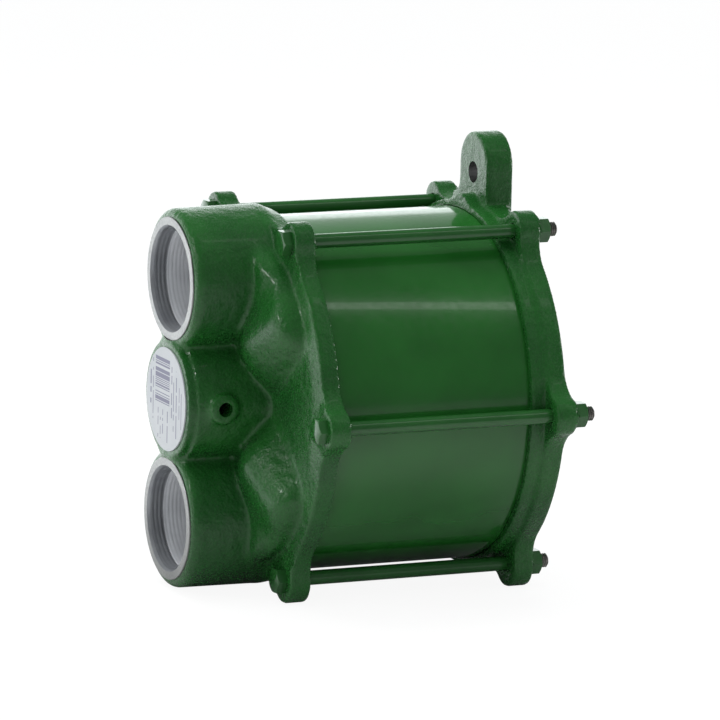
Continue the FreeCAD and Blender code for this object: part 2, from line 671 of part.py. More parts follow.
def rear_cover():
    """The cast rear cover: lobed flange, torque lug, bearing boss, ribs and the gear case cup."""
    pad_z = PAD_TOP - PAD_R
    pad = rod(PAD_R, Y_REAR_FRONT, Y_REAR, 0, pad_z)
    cast = flange_plate(Y_REAR_FRONT, Y_REAR).fuse([pad, torque_lug()])
    boss = bevelled(rod(BOSS_R, Y_CASE_FLOOR, Y_BOSS_END), BOSS_BEVEL, lies_at(Y_BOSS_END))
    pad_y = Y_REAR_FRONT - COLLAR_LONG
    collar_inner = TUBE_OUTER_R + COLLAR_GAP
    pad = rod(PAD_R, pad_y, Y_REAR_FRONT, 0, pad_z)
    collar = rod(collar_inner + COLLAR_WALL, pad_y, Y_REAR_FRONT)
    rim = pad.fuse(collar).cut(rod(collar_inner, pad_y - 1, Y_REAR_FRONT))
    cup = rod(CASE_OUTER_R, Y_CASE_RIM, Y_REAR_FRONT)
    cast = cast.cut(rod(REAR_POCKET_R, Y_REAR - REAR_POCKET_DEEP, Y_REAR + 1))
    cast = cast.fuse([boss, rim, cup] + rear_ribs()).removeSplitter()
    cuts = [rod(RING_OUTER_R, Y_CASE_RIM - 1, Y_GEARS_BACK)]
    cuts.append(rod(RING_OUTER_R - CASE_SHOULDER, Y_GEARS_BACK - 1, Y_CASE_FLOOR))
    cuts.append(rod(HUB_BEARING_R, Y_CASE_FLOOR - 1, Y_HUB_CLIP))
    cuts.append(rod(OIL_SEAL_R, Y_HUB_CLIP - 1, Y_BOSS_END + 1))
    cuts.append(rod(LUG_HOLE_R, Y_REAR_FRONT - 1, Y_REAR_FRONT + LUG_THICK + 1, 0, LUG_HOLE_Z))
    cuts += bolt_holes(Y_REAR_FRONT, Y_REAR)
    cuts.append(tube_groove(Y_REAR_FRONT, 1))
    screw = rod(SCREW_R, Y_CASE_RIM - 1, Y_CASE_RIM + SCREW_BITE, CASE_SCREW_CIRCLE_R)
    cuts += around(screw, LOBE_ANGLES)
    plug = rod(PLUG_R, Y_CASE_FLOOR - 1, Y_REAR, PLUG_CIRCLE_R)
    cuts += around(plug, PLUG_ANGLES)
    return cast.cut(cuts)


def casing_tube():
    """The rolled steel tube between the covers, its ends inside the flange grooves."""
    return tube(TUBE_OUTER_R, TUBE_INNER_R, Y_FRONT_BACK - TUBE_ENTRY, Y_REAR_FRONT + TUBE_ENTRY)


def tube_seal(y0):
    """The flat ring at the bottom of one flange groove."""
    return tube(TUBE_OUTER_R, TUBE_INNER_R, y0, y0 + TUBE_SEAL_THICK)


def tie_bolt():
    """One long hexagon-head bolt, its end standing proud of the nut."""
    y_nut_end = Y_REAR + BOLT_WASHER_THICK + BOLT_NUT_HIGH
    head = hexagon(BOLT_HEAD_FLATS, Y_FRONT - BOLT_HEAD_HIGH, Y_FRONT, BOLT_CIRCLE_R)
    return head.fuse(rod(BOLT_R, Y_FRONT, y_nut_end + BOLT_END_PROUD, BOLT_CIRCLE_R))


def tie_bolt_washer():
    """One washer under a tie bolt nut."""
    hole_r = BOLT_R + BOLT_HOLE_GAP
    return tube(BOLT_WASHER_R, hole_r, Y_REAR, Y_REAR + BOLT_WASHER_THICK, BOLT_CIRCLE_R)


def tie_bolt_nut():
    """One nut on the rear end of a tie bolt."""
    y0 = Y_REAR + BOLT_WASHER_THICK
    nut = hexagon(BOLT_HEAD_FLATS, y0, y0 + BOLT_NUT_HIGH, BOLT_CIRCLE_R)
    return nut.cut(rod(BOLT_R, y0 - 1, y0 + BOLT_NUT_HIGH + 1, BOLT_CIRCLE_R))


def socket_screw(y_head, towards, length, circle_r, shank_r, head_r, head_high):
    """A socket-head screw at one radius, its shank running along Y from its head."""
    y_top = y_head - towards * head_high
    y_socket = y_top + towards * SCREW_SOCKET_DEEP
    head = rod(head_r, min(y_head, y_top), max(y_head, y_top), circle_r)
    socket = hexagon(SCREW_SOCKET_FLATS, min(y_top, y_socket), max(y_top, y_socket), circle_r)
    y_end = y_head + towards * length
    return head.cut(socket).fuse(rod(shank_r, min(y_head, y_end), max(y_head, y_end), circle_r))


def curved_vane(inner_r, outer_r, sweep, thick, y0, y1):
    """One curved vane between two radii; a positive sweep trails when the wheel turns about +Y."""
    stations = [(inner_r, 0.0), ((inner_r + outer_r) / 2, sweep * VANE_MID_SHARE), (outer_r, sweep)]
    sides = []
    for offset in (-thick / 2, thick / 2):
        points = []
        for radius, angle in stations:
            lean = math.degrees(offset / radius) * VANE_LEAN
            points.append(polar(radius, angle + lean, y0))
        sides.append(points)
    first, second = sides
    edges = [arc(*first), line(first[2], second[2]), arc(*second), line(second[0], first[0])]
    return outline(Part.sortEdges(edges)[0], y0, y1)


def impeller():
    """The closed impeller: two shrouds, six curved vanes, the eye neck and the hub."""
    front = tube(IMPELLER_R, EYE_R, Y_IMPELLER, Y_VANES)
    neck = tube(EYE_NECK_R, EYE_R, Y_FRONT_BACK - WEAR_RING_SEAT / 2, Y_IMPELLER)
    back = tube(IMPELLER_R, IMPELLER_SEAT_R, Y_BACK_SHROUD, Y_IMPELLER_BACK)
    hub = tube(IMPELLER_HUB_R, IMPELLER_SEAT_R, Y_IMPELLER_NOSE, Y_IMPELLER_SEAT)
    tip_r = IMPELLER_R - VANE_TIP_INSET
    vane = curved_vane(EYE_R + VANE_FROM_EYE, tip_r, VANE_SWEEP, VANE_THICK, Y_VANES, Y_BACK_SHROUD)
    vanes = around(vane, [360.0 * k / VANE_COUNT for k in range(VANE_COUNT)])
    wheel = front.fuse([neck, back, hub] + vanes)
    return wheel.cut(key_block())


def key_block():
    """The key between the impeller and the pump shaft."""
    y0 = Y_IMPELLER_SEAT - KEY_LONG - RUNNING_GAP
    return Part.makeBox(KEY_WIDE, KEY_LONG, KEY_WIDE, vec(-KEY_WIDE / 2, y0, IMPELLER_SEAT_R - KEY_DEEP))


def wear_ring():
    """The ring in the front cover that the impeller's eye neck runs in."""
    inner = EYE_NECK_R + WEAR_RING_GAP
    y0 = Y_FRONT_BACK - WEAR_RING_SEAT
    return tube(inner + WEAR_RING_WALL, inner, y0, y0 + WEAR_RING_SEAT + WEAR_RING_WALL)


def diffuser():
    """The diffuser behind and around the impeller, with guide vanes and screw pillars."""
    plate = tube(DIFFUSER_R, IMPELLER_HUB_R + RUNNING_GAP, Y_DIFFUSER, Y_DIFFUSER_BACK)
    tip_r = DIFFUSER_R - DIFFUSER_TIP_INSET
    vane = curved_vane(
        DIFFUSER_INNER_R, tip_r, DIFFUSER_SWEEP, DIFFUSER_VANE_THICK, Y_FRONT_BACK, Y_DIFFUSER
    )
    vanes = around(vane, [DIFFUSER_VANE_START + 360.0 * k / DIFFUSER_VANES for k in range(DIFFUSER_VANES)])
    pillars = around(rod(PILLAR_R, Y_FRONT_BACK, Y_DIFFUSER, PILLAR_CIRCLE_R), LOBE_ANGLES)
    hole = rod(SCREW_R + SCREW_HOLE_GAP, Y_FRONT_BACK - 1, Y_DIFFUSER_BACK + 1, PILLAR_CIRCLE_R)
    holes = around(hole, LOBE_ANGLES)
    return plate.fuse(vanes + pillars).cut(holes)


def diffuser_screw():
    """One long screw that holds the diffuser to the front cover."""
    length = Y_DIFFUSER_BACK - Y_FRONT_BACK + SCREW_BITE
    sizes = (SCREW_R, SCREW_HEAD_R, SCREW_HEAD_HIGH)
    return socket_screw(Y_DIFFUSER_BACK, -1, length, PILLAR_CIRCLE_R, *sizes)


def gear_case_plate():
    """The front plate of the gear case, with the seal nose and the shaft bearing housing."""
    housing_r = SHAFT_BEARING_R + CASE_BEARING_WALL
    blank = turned([
        (SHAFT_R + RUNNING_GAP, Y_CASE_NOSE), (CASE_NOSE_R, Y_CASE_NOSE), (CASE_NOSE_R, Y_CASE_PLATE),
        (CASE_OUTER_R, Y_CASE_PLATE), (CASE_OUTER_R, Y_CASE_PLATE_BACK), (housing_r, Y_CASE_PLATE_BACK),
        (housing_r, Y_SHAFT_BEARING_BACK), (SHAFT_R + RUNNING_GAP, Y_SHAFT_BEARING_BACK),
    ])
    cuts = [rod(SEAL_SEAT_R, Y_CASE_NOSE - 1, Y_SEAL_SEAT_BACK)]
    cuts.append(rod(LIP_SEAL_R, Y_LIP_SEAL, Y_SHAFT_BEARING))
    cuts.append(rod(SHAFT_BEARING_R, Y_SHAFT_BEARING, Y_SHAFT_BEARING_BACK + 1))
    hole = rod(SCREW_R + SCREW_HOLE_GAP, Y_CASE_PLATE - 1, Y_CASE_PLATE_BACK + 1, CASE_SCREW_CIRCLE_R)
    return blank.cut(cuts + around(hole, LOBE_ANGLES))


def gear_case_gasket():
    """The flat gasket between the gear case cup and its front plate."""
    ring = tube(CASE_OUTER_R, RING_OUTER_R, Y_CASE_PLATE_BACK, Y_CASE_RIM)
    hole = rod(SCREW_R + SCREW_HOLE_GAP, Y_CASE_PLATE_BACK - 1, Y_CASE_RIM + 1, CASE_SCREW_CIRCLE_R)
    return ring.cut(around(hole, LOBE_ANGLES))


def gear_case_screw():
    """One screw that holds the front plate to the gear case cup."""
    length = CASE_PLATE + GASKET_THICK + SCREW_BITE
    sizes = (SCREW_R, SCREW_HEAD_R, SCREW_HEAD_HIGH)
    return socket_screw(Y_CASE_PLATE, 1, length, CASE_SCREW_CIRCLE_R, *sizes)


def seal_bellows():
    """The rubber bellows that turns with the shaft and pushes the seal face back."""
    step = (Y_SEAL_FACE - Y_IMPELLER_SEAT) / (2 * BELLOWS_FOLDS)
    points = [(SHAFT_R, Y_IMPELLER_SEAT)]
    for k in range(2 * BELLOWS_FOLDS + 1):
        rise = BELLOWS_RISE if k % 2 else BELLOWS_WAIST_RISE
        points.append((SHAFT_R + rise, Y_IMPELLER_SEAT + step * k))
    points.append((SHAFT_R, Y_SEAL_FACE))
    return turned(points)


def seal_face():
    """The carbon face ring that turns with the bellows."""
    return tube(SHAFT_R + SEAL_FACE_WALL, SHAFT_R, Y_SEAL_FACE, Y_SEAL_SEAT)


def seal_seat():
    """The fixed ceramic seat in the nose of the gear case."""
    return tube(SEAL_SEAT_R, SHAFT_R + SEAL_SEAT_GAP, Y_SEAL_SEAT, Y_SEAL_SEAT_BACK)


def lip_seal(outer, shaft_r, y0, wide):
    """An oil seal: a thin shell with a sprung lip that runs close to the shaft."""
    lip_r = shaft_r + BUSH_GAP
    return turned([
        (outer, y0), (outer, y0 + wide), (lip_r + LIP_ROOT, y0 + wide),
        (lip_r, y0 + wide - LIP_ROOT), (lip_r, y0 + wide - LIP_NECK),
        (lip_r + LIP_THICK, y0 + LIP_THROAT), (outer - LIP_THICK, y0 + LIP_ROOT),
        (outer - LIP_THICK, y0),
    ])


def ball_bearing_parts(bore, outside, wide, count, y0):
    """The outer race, the inner race and the balls of a ball bearing."""
    mean = (bore + outside) / 2
    land = RACE_LAND * (outside - bore)
    groove = RACE_GROOVE * (outside - bore)
    middle = y0 + wide / 2
    half = RACE_HALF_WIDE * wide
    outer_land = mean + land * 0.5
    inner_land = mean - land * 0.5
    outer = turned([
        (outside, y0), (outside, y0 + wide), (outer_land, y0 + wide), (outer_land, middle + half),
        (outer_land + groove, middle), (outer_land, middle - half), (outer_land, y0),
    ])
    inner = turned([
        (bore, y0), (inner_land, y0), (inner_land, middle - half), (inner_land - groove, middle),
        (inner_land, middle + half), (inner_land, y0 + wide), (bore, y0 + wide),
    ])
    slope = math.atan2(groove, half)
    ball_r = (land * 0.5 + groove) * math.cos(slope) - BALL_GAP
    ball = Part.makeSphere(ball_r, vec(mean, middle, 0))
    balls = around(ball, [360.0 * k / count for k in range(count)])
    return outer, inner, Part.makeCompound(balls)


def hub_bearing_parts(y0, front_rib):
    """The outer race, the inner race with a rib on one side, and the rollers of a hub bearing."""
    y1 = y0 + HUB_BEARING_WIDE
    track = ROLLER_CIRCLE_R + ROLLER_R
    side = (HUB_BEARING_WIDE - ROLLER_LONG) / 2
    outer = turned([
        (HUB_BEARING_R, y0), (HUB_BEARING_R, y1), (track - ROLLER_RIB, y1), (track - ROLLER_RIB, y1 - side),
        (track, y1 - side), (track, y0 + side), (track - ROLLER_RIB, y0 + side), (track - ROLLER_RIB, y0),
    ])
    inner_track = ROLLER_CIRCLE_R - ROLLER_R
    rib_y = y0 if front_rib else y1 - side
    rib = tube(inner_track + ROLLER_RIB, HUB_NECK_R, rib_y, rib_y + side)
    inner = tube(inner_track, HUB_NECK_R, y0, y1).fuse(rib).removeSplitter()
    roller = rod(ROLLER_R - BALL_GAP, y0 + side + BALL_GAP, y1 - side - BALL_GAP, ROLLER_CIRCLE_R)
    rollers = around(roller, [360.0 * k / HUB_BEARING_ROLLERS for k in range(HUB_BEARING_ROLLERS)])
    return outer, inner, Part.makeCompound(rollers)


def flank_angle(teeth, radius, gain):
    """Half the angle of a tooth at a radius, for an involute tooth with a little backlash."""
    pitch_r = MODULE * teeth / 2
    base_r = pitch_r * math.cos(PRESSURE_ANGLE)
    half = (math.pi * MODULE / 2 + gain) / (2 * pitch_r)
    roll = math.acos(min(1.0, base_r / radius))
    turn = math.tan(PRESSURE_ANGLE) - PRESSURE_ANGLE
    return math.degrees(half + turn - (math.tan(roll) - roll))


def gear_blank(teeth, root_r, tip_r, gain, phase, y0, y1):
    """A toothed disc, with a tooth centred at the phase angle."""
    start_r = max(root_r, MODULE * teeth / 2 * math.cos(PRESSURE_ANGLE))
    middle_r = (start_r + tip_r) / 2
    start, middle, tip = (flank_angle(teeth, radius, gain) for radius in (start_r, middle_r, tip_r))
    pitch = 360.0 / teeth
    edges = []
    for k in range(teeth):
        at = phase + k * pitch
        flank = ((start_r, start), (middle_r, middle), (tip_r, tip))
        rising = [polar(radius, at - turn, y0) for radius, turn in flank]
        falling = [polar(radius, at + turn, y0) for radius, turn in reversed(flank)]
        root = polar(root_r, at + start, y0)
        if start_r > root_r:
            edges.append(line(polar(root_r, at - start, y0), rising[0]))
        edges.append(arc(*rising))
        edges.append(line(rising[2], falling[0]))
        edges.append(arc(*falling))
        if start_r > root_r:
            edges.append(line(falling[2], root))
        edges.append(line(root, polar(root_r, at + pitch - start, y0)))
    return outline(edges, y0, y1)


def outer_gear(teeth, phase, y0, y1):
    """A gear with outside teeth."""
    pitch_r = MODULE * teeth / 2
    return gear_blank(
        teeth, pitch_r - MODULE * ROOT_DEPTH, pitch_r + MODULE * TIP_HEIGHT, -BACKLASH / 2, phase, y0, y1
    )


def ring_gear():
    """The fixed ring gear in the gear case cup, with its teeth inside."""
    pitch_r = MODULE * RING_TEETH / 2
    space = gear_blank(
        RING_TEETH, pitch_r - MODULE * TIP_HEIGHT, pitch_r + MODULE * ROOT_DEPTH, BACKLASH / 2,
        FIRST_PLANET_ANGLE + 180.0 / RING_TEETH, Y_GEARS, Y_GEARS_BACK,
    )
    return rod(RING_OUTER_R, Y_GEARS, Y_GEARS_BACK).cut(space)


def planet_gear(angle):
    """One planet gear, turned so that a tooth space faces both the sun and the ring."""
    gear = outer_gear(PLANET_TEETH, angle + 180.0 / PLANET_TEETH, Y_GEARS, Y_GEARS_BACK)
    gear = gear.cut(rod(BUSH_OUTER_R, Y_GEARS - 1, Y_GEARS_BACK + 1))
    gear.translate(polar(PLANET_CENTRE_R, angle))
    return gear


def planet_bush(angle):
    """The bronze bush pressed into a planet gear."""
    bush = tube(BUSH_OUTER_R, PLANET_PIN_R + BUSH_GAP, Y_GEARS, Y_GEARS_BACK)
    bush.translate(polar(PLANET_CENTRE_R, angle))
    return bush


def planet_pin(angle):
    """One pin through both carrier plates."""
    pin = rod(PLANET_PIN_R, Y_CARRIER, Y_HUB_PLATE_BACK)
    pin.translate(polar(PLANET_CENTRE_R, angle))
    return pin


def pin_holes():
    """The holes for the planet pins."""
    hole = rod(PLANET_PIN_R, Y_CARRIER - 1, Y_HUB_PLATE_BACK + 1, PLANET_CENTRE_R)
    return around(hole, PLANET_ANGLES)


def carrier_plate():
    """The front plate of the planet carrier, screwed to the hub's pillars."""
    bore_r = SHAFT_CLIP_R + CARRIER_BORE_GAP
    plate = tube(CARRIER_R, bore_r, Y_CARRIER, Y_CARRIER_BACK)
    hole = rod(CARRIER_SCREW_R, Y_CARRIER - 1, Y_CARRIER_BACK + 1, CARRIER_PILLAR_CIRCLE_R)
    return plate.cut(pin_holes() + around(hole, PILLAR_ANGLES))


def carrier_screw():
    """One screw that holds the carrier plate to a pillar."""
    return socket_screw(
        Y_CARRIER, 1, CARRIER_PLATE + CARRIER_SCREW_BITE, CARRIER_PILLAR_CIRCLE_R,
        CARRIER_SCREW_R, CARRIER_SCREW_HEAD_R, CARRIER_SCREW_HEAD_HIGH,
    )


def drive_hub():
    """The splined hub, its carrier plate and the three pillars, all one forging."""
    plate = rod(CARRIER_R, Y_HUB_PLATE, Y_HUB_PLATE_BACK)
    shoulder = rod(HUB_SHOULDER_R, Y_HUB_PLATE_BACK, Y_HUB_BEARING_FRONT)
    neck = rod(HUB_NECK_R, Y_HUB_BEARING_FRONT, -HUB_END_LONG)
    end = rod(HUB_END_R, -HUB_END_LONG, 0)
    pillar = rod(CARRIER_PILLAR_R, Y_CARRIER_BACK, Y_HUB_PLATE, CARRIER_PILLAR_CIRCLE_R)
    solid = plate.fuse([shoulder, neck, end] + around(pillar, PILLAR_ANGLES))
    bore = rod(SPLINE_MINOR_R, -SPLINE_DEPTH, 1)
    groove = Part.makeBox(
        SPLINE_MAJOR_R, SPLINE_DEPTH + 1, SPLINE_GROOVE, vec(0, -SPLINE_DEPTH, -SPLINE_GROOVE / 2)
    )
    groove = groove.common(rod(SPLINE_MAJOR_R, -SPLINE_DEPTH, 1))
    grooves = around(groove, [360.0 * k / SPLINE_COUNT for k in range(SPLINE_COUNT)])
    pocket = rod(PILOT_R + BUSH_GAP + PILOT_BUSH_WALL, Y_HUB_PLATE - 1, Y_PILOT_END)
    clip = tube(HUB_NECK_R + 1, HUB_NECK_R - HUB_CLIP_GROOVE, Y_HUB_CLIP, Y_HUB_CLIP + HUB_CLIP_THICK)
    screw_end = Y_CARRIER_BACK + CARRIER_SCREW_BITE
    screw = rod(CARRIER_SCREW_R, Y_CARRIER_BACK - 1, screw_end, CARRIER_PILLAR_CIRCLE_R)
    cuts = [bore, pocket, clip] + grooves + pin_holes() + around(screw, PILLAR_ANGLES)
    return solid.cut(cuts)


def pilot_bush():
    """The bronze bush in the hub that steadies the rear end of the pump shaft."""
    inner = PILOT_R + BUSH_GAP
    return tube(inner + PILOT_BUSH_WALL, inner, Y_PILOT_BUSH, Y_PILOT_BUSH + PILOT_BUSH_LONG)


def hub_clip():
    """The retaining ring behind the rear hub bearing."""
    inner = HUB_NECK_R - HUB_CLIP_GROOVE
    return tube(inner + HUB_CLIP_RISE, inner, Y_HUB_CLIP, Y_HUB_CLIP + HUB_CLIP_THICK)


def hub_bearing_spacer():
    """The ring between the outer races of the two hub bearings."""
    y0 = Y_HUB_BEARING_FRONT + HUB_BEARING_WIDE
    return tube(HUB_BEARING_R, HUB_BEARING_R - HUB_CLIP_RISE, y0, y0 + HUB_BEARING_GAP)


def pump_shaft():
    """The pump shaft with its sun gear, impeller seat, pilot end and threaded nose."""
    y_thread_end = Y_IMPELLER_NOSE - SHAFT_WASHER_THICK - SHAFT_NUT_HIGH - SHAFT_THREAD_PROUD
    clip_y = Y_SHAFT_BEARING_BACK
    shaft = turned([
        (0, y_thread_end), (SHAFT_THREAD_R, y_thread_end), (SHAFT_THREAD_R, Y_IMPELLER_NOSE),
        (IMPELLER_SEAT_R, Y_IMPELLER_NOSE), (IMPELLER_SEAT_R, Y_IMPELLER_SEAT), (SHAFT_R, Y_IMPELLER_SEAT),
        (SHAFT_R, clip_y), (SHAFT_R - SHAFT_CLIP_GROOVE, clip_y),
        (SHAFT_R - SHAFT_CLIP_GROOVE, clip_y + SHAFT_CLIP_THICK), (SHAFT_R, clip_y + SHAFT_CLIP_THICK),
        (SHAFT_R, Y_GEARS), (PILOT_R, Y_GEARS), (PILOT_R, Y_PILOT_BUSH + PILOT_BUSH_LONG),
        (0, Y_PILOT_BUSH + PILOT_BUSH_LONG),
    ])
    sun = outer_gear(SUN_TEETH, FIRST_PLANET_ANGLE, Y_GEARS, Y_GEARS_BACK)
    return shaft.fuse(sun).cut(key_block())


def shaft_clip():
    """The retaining ring behind the shaft bearing."""
    y0 = Y_SHAFT_BEARING_BACK
    return tube(SHAFT_CLIP_R, SHAFT_R - SHAFT_CLIP_GROOVE, y0, y0 + SHAFT_CLIP_THICK)


def impeller_washer():
    """The washer between the impeller hub and its nut."""
    return tube(SHAFT_WASHER_R, SHAFT_THREAD_R, Y_IMPELLER_NOSE - SHAFT_WASHER_THICK, Y_IMPELLER_NOSE)


def impeller_nut():
    """The nut that holds the impeller on the shaft."""
    y1 = Y_IMPELLER_NOSE - SHAFT_WASHER_THICK
    nut = hexagon(SHAFT_NUT_FLATS, y1 - SHAFT_NUT_HIGH, y1)
    return nut.cut(rod(SHAFT_THREAD_R, y1 - SHAFT_NUT_HIGH - 1, y1 + 1))


def oil_plug():
    """One hexagon-head oil plug in the rear face of the gear case."""
    y_face = Y_REAR - REAR_POCKET_DEEP + PLUG_WASHER_THICK
    head = hexagon(PLUG_FLATS, y_face, y_face + PLUG_HEAD_HIGH, PLUG_CIRCLE_R)
    return head.fuse(rod(PLUG_R, Y_CASE_FLOOR, y_face, PLUG_CIRCLE_R))


def oil_plug_washer():
    """The copper washer under one oil plug."""
    y0 = Y_REAR - REAR_POCKET_DEEP
    return tube(PLUG_WASHER_R, PLUG_R, y0, y0 + PLUG_WASHER_THICK, PLUG_CIRCLE_R)


def group(shape, angles):
    """Separate copies of one fastener, kept as one group."""
    return Part.makeCompound(around(shape, angles))


def bearing_nodes(name, kind, parts):
    """The three nodes of one bearing."""
    outer, inner, rolling = parts
    return {name + "_outer": outer, name + "_inner": inner, name + "_" + kind: rolling}


def all_nodes():
    """Every piece of the pump under its node name."""
    nodes = {
        "front_cover": front_cover(),
        "label_disc": label_disc(),
        "rear_cover": rear_cover(),
        "casing_tube": casing_tube(),
        "front_tube_seal": tube_seal(Y_FRONT_BACK - TUBE_ENTRY - TUBE_SEAL_THICK),
        "rear_tube_seal": tube_seal(Y_REAR_FRONT + TUBE_ENTRY),
        "tie_bolts": group(tie_bolt(), LOBE_ANGLES),
        "tie_bolt_washers": group(tie_bolt_washer(), LOBE_ANGLES),
        "tie_bolt_nuts": group(tie_bolt_nut(), LOBE_ANGLES),
        "wear_ring": wear_ring(),
        "impeller": impeller(),
        "impeller_key": key_block(),
        "impeller_washer": impeller_washer(),
        "impeller_nut": impeller_nut(),
        "diffuser": diffuser(),
        "diffuser_screws": group(diffuser_screw(), LOBE_ANGLES),
        "seal_bellows": seal_bellows(),
        "seal_face": seal_face(),
        "seal_seat": seal_seat(),
        "shaft_oil_seal": lip_seal(LIP_SEAL_R, SHAFT_R, Y_LIP_SEAL, LIP_SEAL_WIDE),
        "gear_case_plate": gear_case_plate(),
        "gear_case_gasket": gear_case_gasket(),
        "gear_case_screws": group(gear_case_screw(), LOBE_ANGLES),
        "pump_shaft": pump_shaft(),
        "shaft_clip": shaft_clip(),
        "ring_gear": ring_gear(),
        "carrier_plate": carrier_plate(),
        "carrier_screws": group(carrier_screw(), PILLAR_ANGLES),
        "planet_pins": Part.makeCompound([planet_pin(angle) for angle in PLANET_ANGLES]),
        "drive_hub": drive_hub(),
        "pilot_bush": pilot_bush(),
        "hub_clip": hub_clip(),
        "hub_bearing_spacer": hub_bearing_spacer(),
        "hub_oil_seal": lip_seal(OIL_SEAL_R, HUB_NECK_R, Y_OIL_SEAL, OIL_SEAL_WIDE),
        "oil_plugs": group(oil_plug(), PLUG_ANGLES),
        "oil_plug_washers": group(oil_plug_washer(), PLUG_ANGLES),
    }
    for number, angle in enumerate(PLANET_ANGLES, start=1):
        nodes["planet_gear_%d" % number] = planet_gear(angle)
        nodes["planet_bush_%d" % number] = planet_bush(angle)
    shaft_set = ball_bearing_parts(
        SHAFT_R, SHAFT_BEARING_R, SHAFT_BEARING_WIDE, SHAFT_BEARING_BALLS, Y_SHAFT_BEARING
    )
    nodes.update(bearing_nodes("shaft_bearing", "balls", shaft_set))
    front_set = hub_bearing_parts(Y_HUB_BEARING_FRONT, True)
    rear_set = hub_bearing_parts(Y_HUB_BEARING_REAR, False)
    nodes.update(bearing_nodes("hub_bearing_front", "rollers", front_set))
    nodes.update(bearing_nodes("hub_bearing_rear", "rollers", rear_set))
    return nodes


os.makedirs("parts", exist_ok=True)
for node, shape in all_nodes().items():
    shape.exportStep("parts/%s.step" % node)
    print(node, len(shape.Solids), shape.isValid(), round(shape.Volume))
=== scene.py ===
"""Looks for a self-priming tractor pump: castings, paint, fasteners, label and studio.

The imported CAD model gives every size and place. The forms' sizes are millimetres in the pump's frame, and the
lights, the camera and the finished meshes are in metres. The pump axis is Y, the ports look along -Y and +Z
is up.
"""

import json
import logging
import math
from dataclasses import dataclass, replace
from enum import Enum
from typing import Callable, Sequence

import bmesh
import bpy
import numpy as np
from mathutils import Matrix, Vector

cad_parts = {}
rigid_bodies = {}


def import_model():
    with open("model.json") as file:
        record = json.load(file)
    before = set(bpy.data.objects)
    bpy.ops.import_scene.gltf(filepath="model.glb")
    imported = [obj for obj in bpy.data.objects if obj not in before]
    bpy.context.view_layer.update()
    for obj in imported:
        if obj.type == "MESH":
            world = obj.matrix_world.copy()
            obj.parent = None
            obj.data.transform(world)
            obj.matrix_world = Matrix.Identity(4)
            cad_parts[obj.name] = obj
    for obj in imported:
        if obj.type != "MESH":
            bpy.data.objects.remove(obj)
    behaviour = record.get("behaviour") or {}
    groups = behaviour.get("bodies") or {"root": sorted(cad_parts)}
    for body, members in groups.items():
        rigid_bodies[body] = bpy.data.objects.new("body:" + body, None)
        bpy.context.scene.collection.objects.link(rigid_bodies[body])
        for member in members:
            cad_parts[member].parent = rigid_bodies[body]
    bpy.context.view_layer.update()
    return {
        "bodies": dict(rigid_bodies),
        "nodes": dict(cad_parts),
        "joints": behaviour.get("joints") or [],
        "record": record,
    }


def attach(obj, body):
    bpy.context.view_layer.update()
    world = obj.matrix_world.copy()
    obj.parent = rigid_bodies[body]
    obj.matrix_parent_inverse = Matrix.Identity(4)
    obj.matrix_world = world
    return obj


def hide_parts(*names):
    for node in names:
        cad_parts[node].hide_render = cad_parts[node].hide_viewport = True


LOG = logging.getLogger("tractor_pump")
MM = 0.001

LOBES = 6
BOLT_CIRCLE_R = 107.35
PORT_Z = 66.7
PORT_RING_R = 33.8
PORT_THREAD_END = -195.8
PORT_PASSAGE_R = 24.0
CUT_CLEAR = 3.0
CRISP_DEG = 35.0
SMOOTH_FROM = 0.3
SMOOTH_TO = 0.7
HEX_CHAMFER_DEG = 30.0
HEX_FACE_SHARE = 0.95
HEX_DOME = 0.3

Colour = tuple[float, float, float]
Place = tuple[float, float, float]
Shape = tuple[list, list]
Points = np.ndarray


def paint_colour(red: int, green: int, blue: int) -> Colour:
    """A display colour from 0 to 255 as the linear colour that Blender works in.

    Args:
        red: the red share, 0 to 255.
        green: the green share, 0 to 255.
        blue: the blue share, 0 to 255.

    Returns:
        The linear red, green and blue, each 0 to 1.
    """
    shares = (red / 255, green / 255, blue / 255)
    return tuple(c / 12.92 if c <= 0.04045 else ((c + 0.055) / 1.055) ** 2.4 for c in shares)


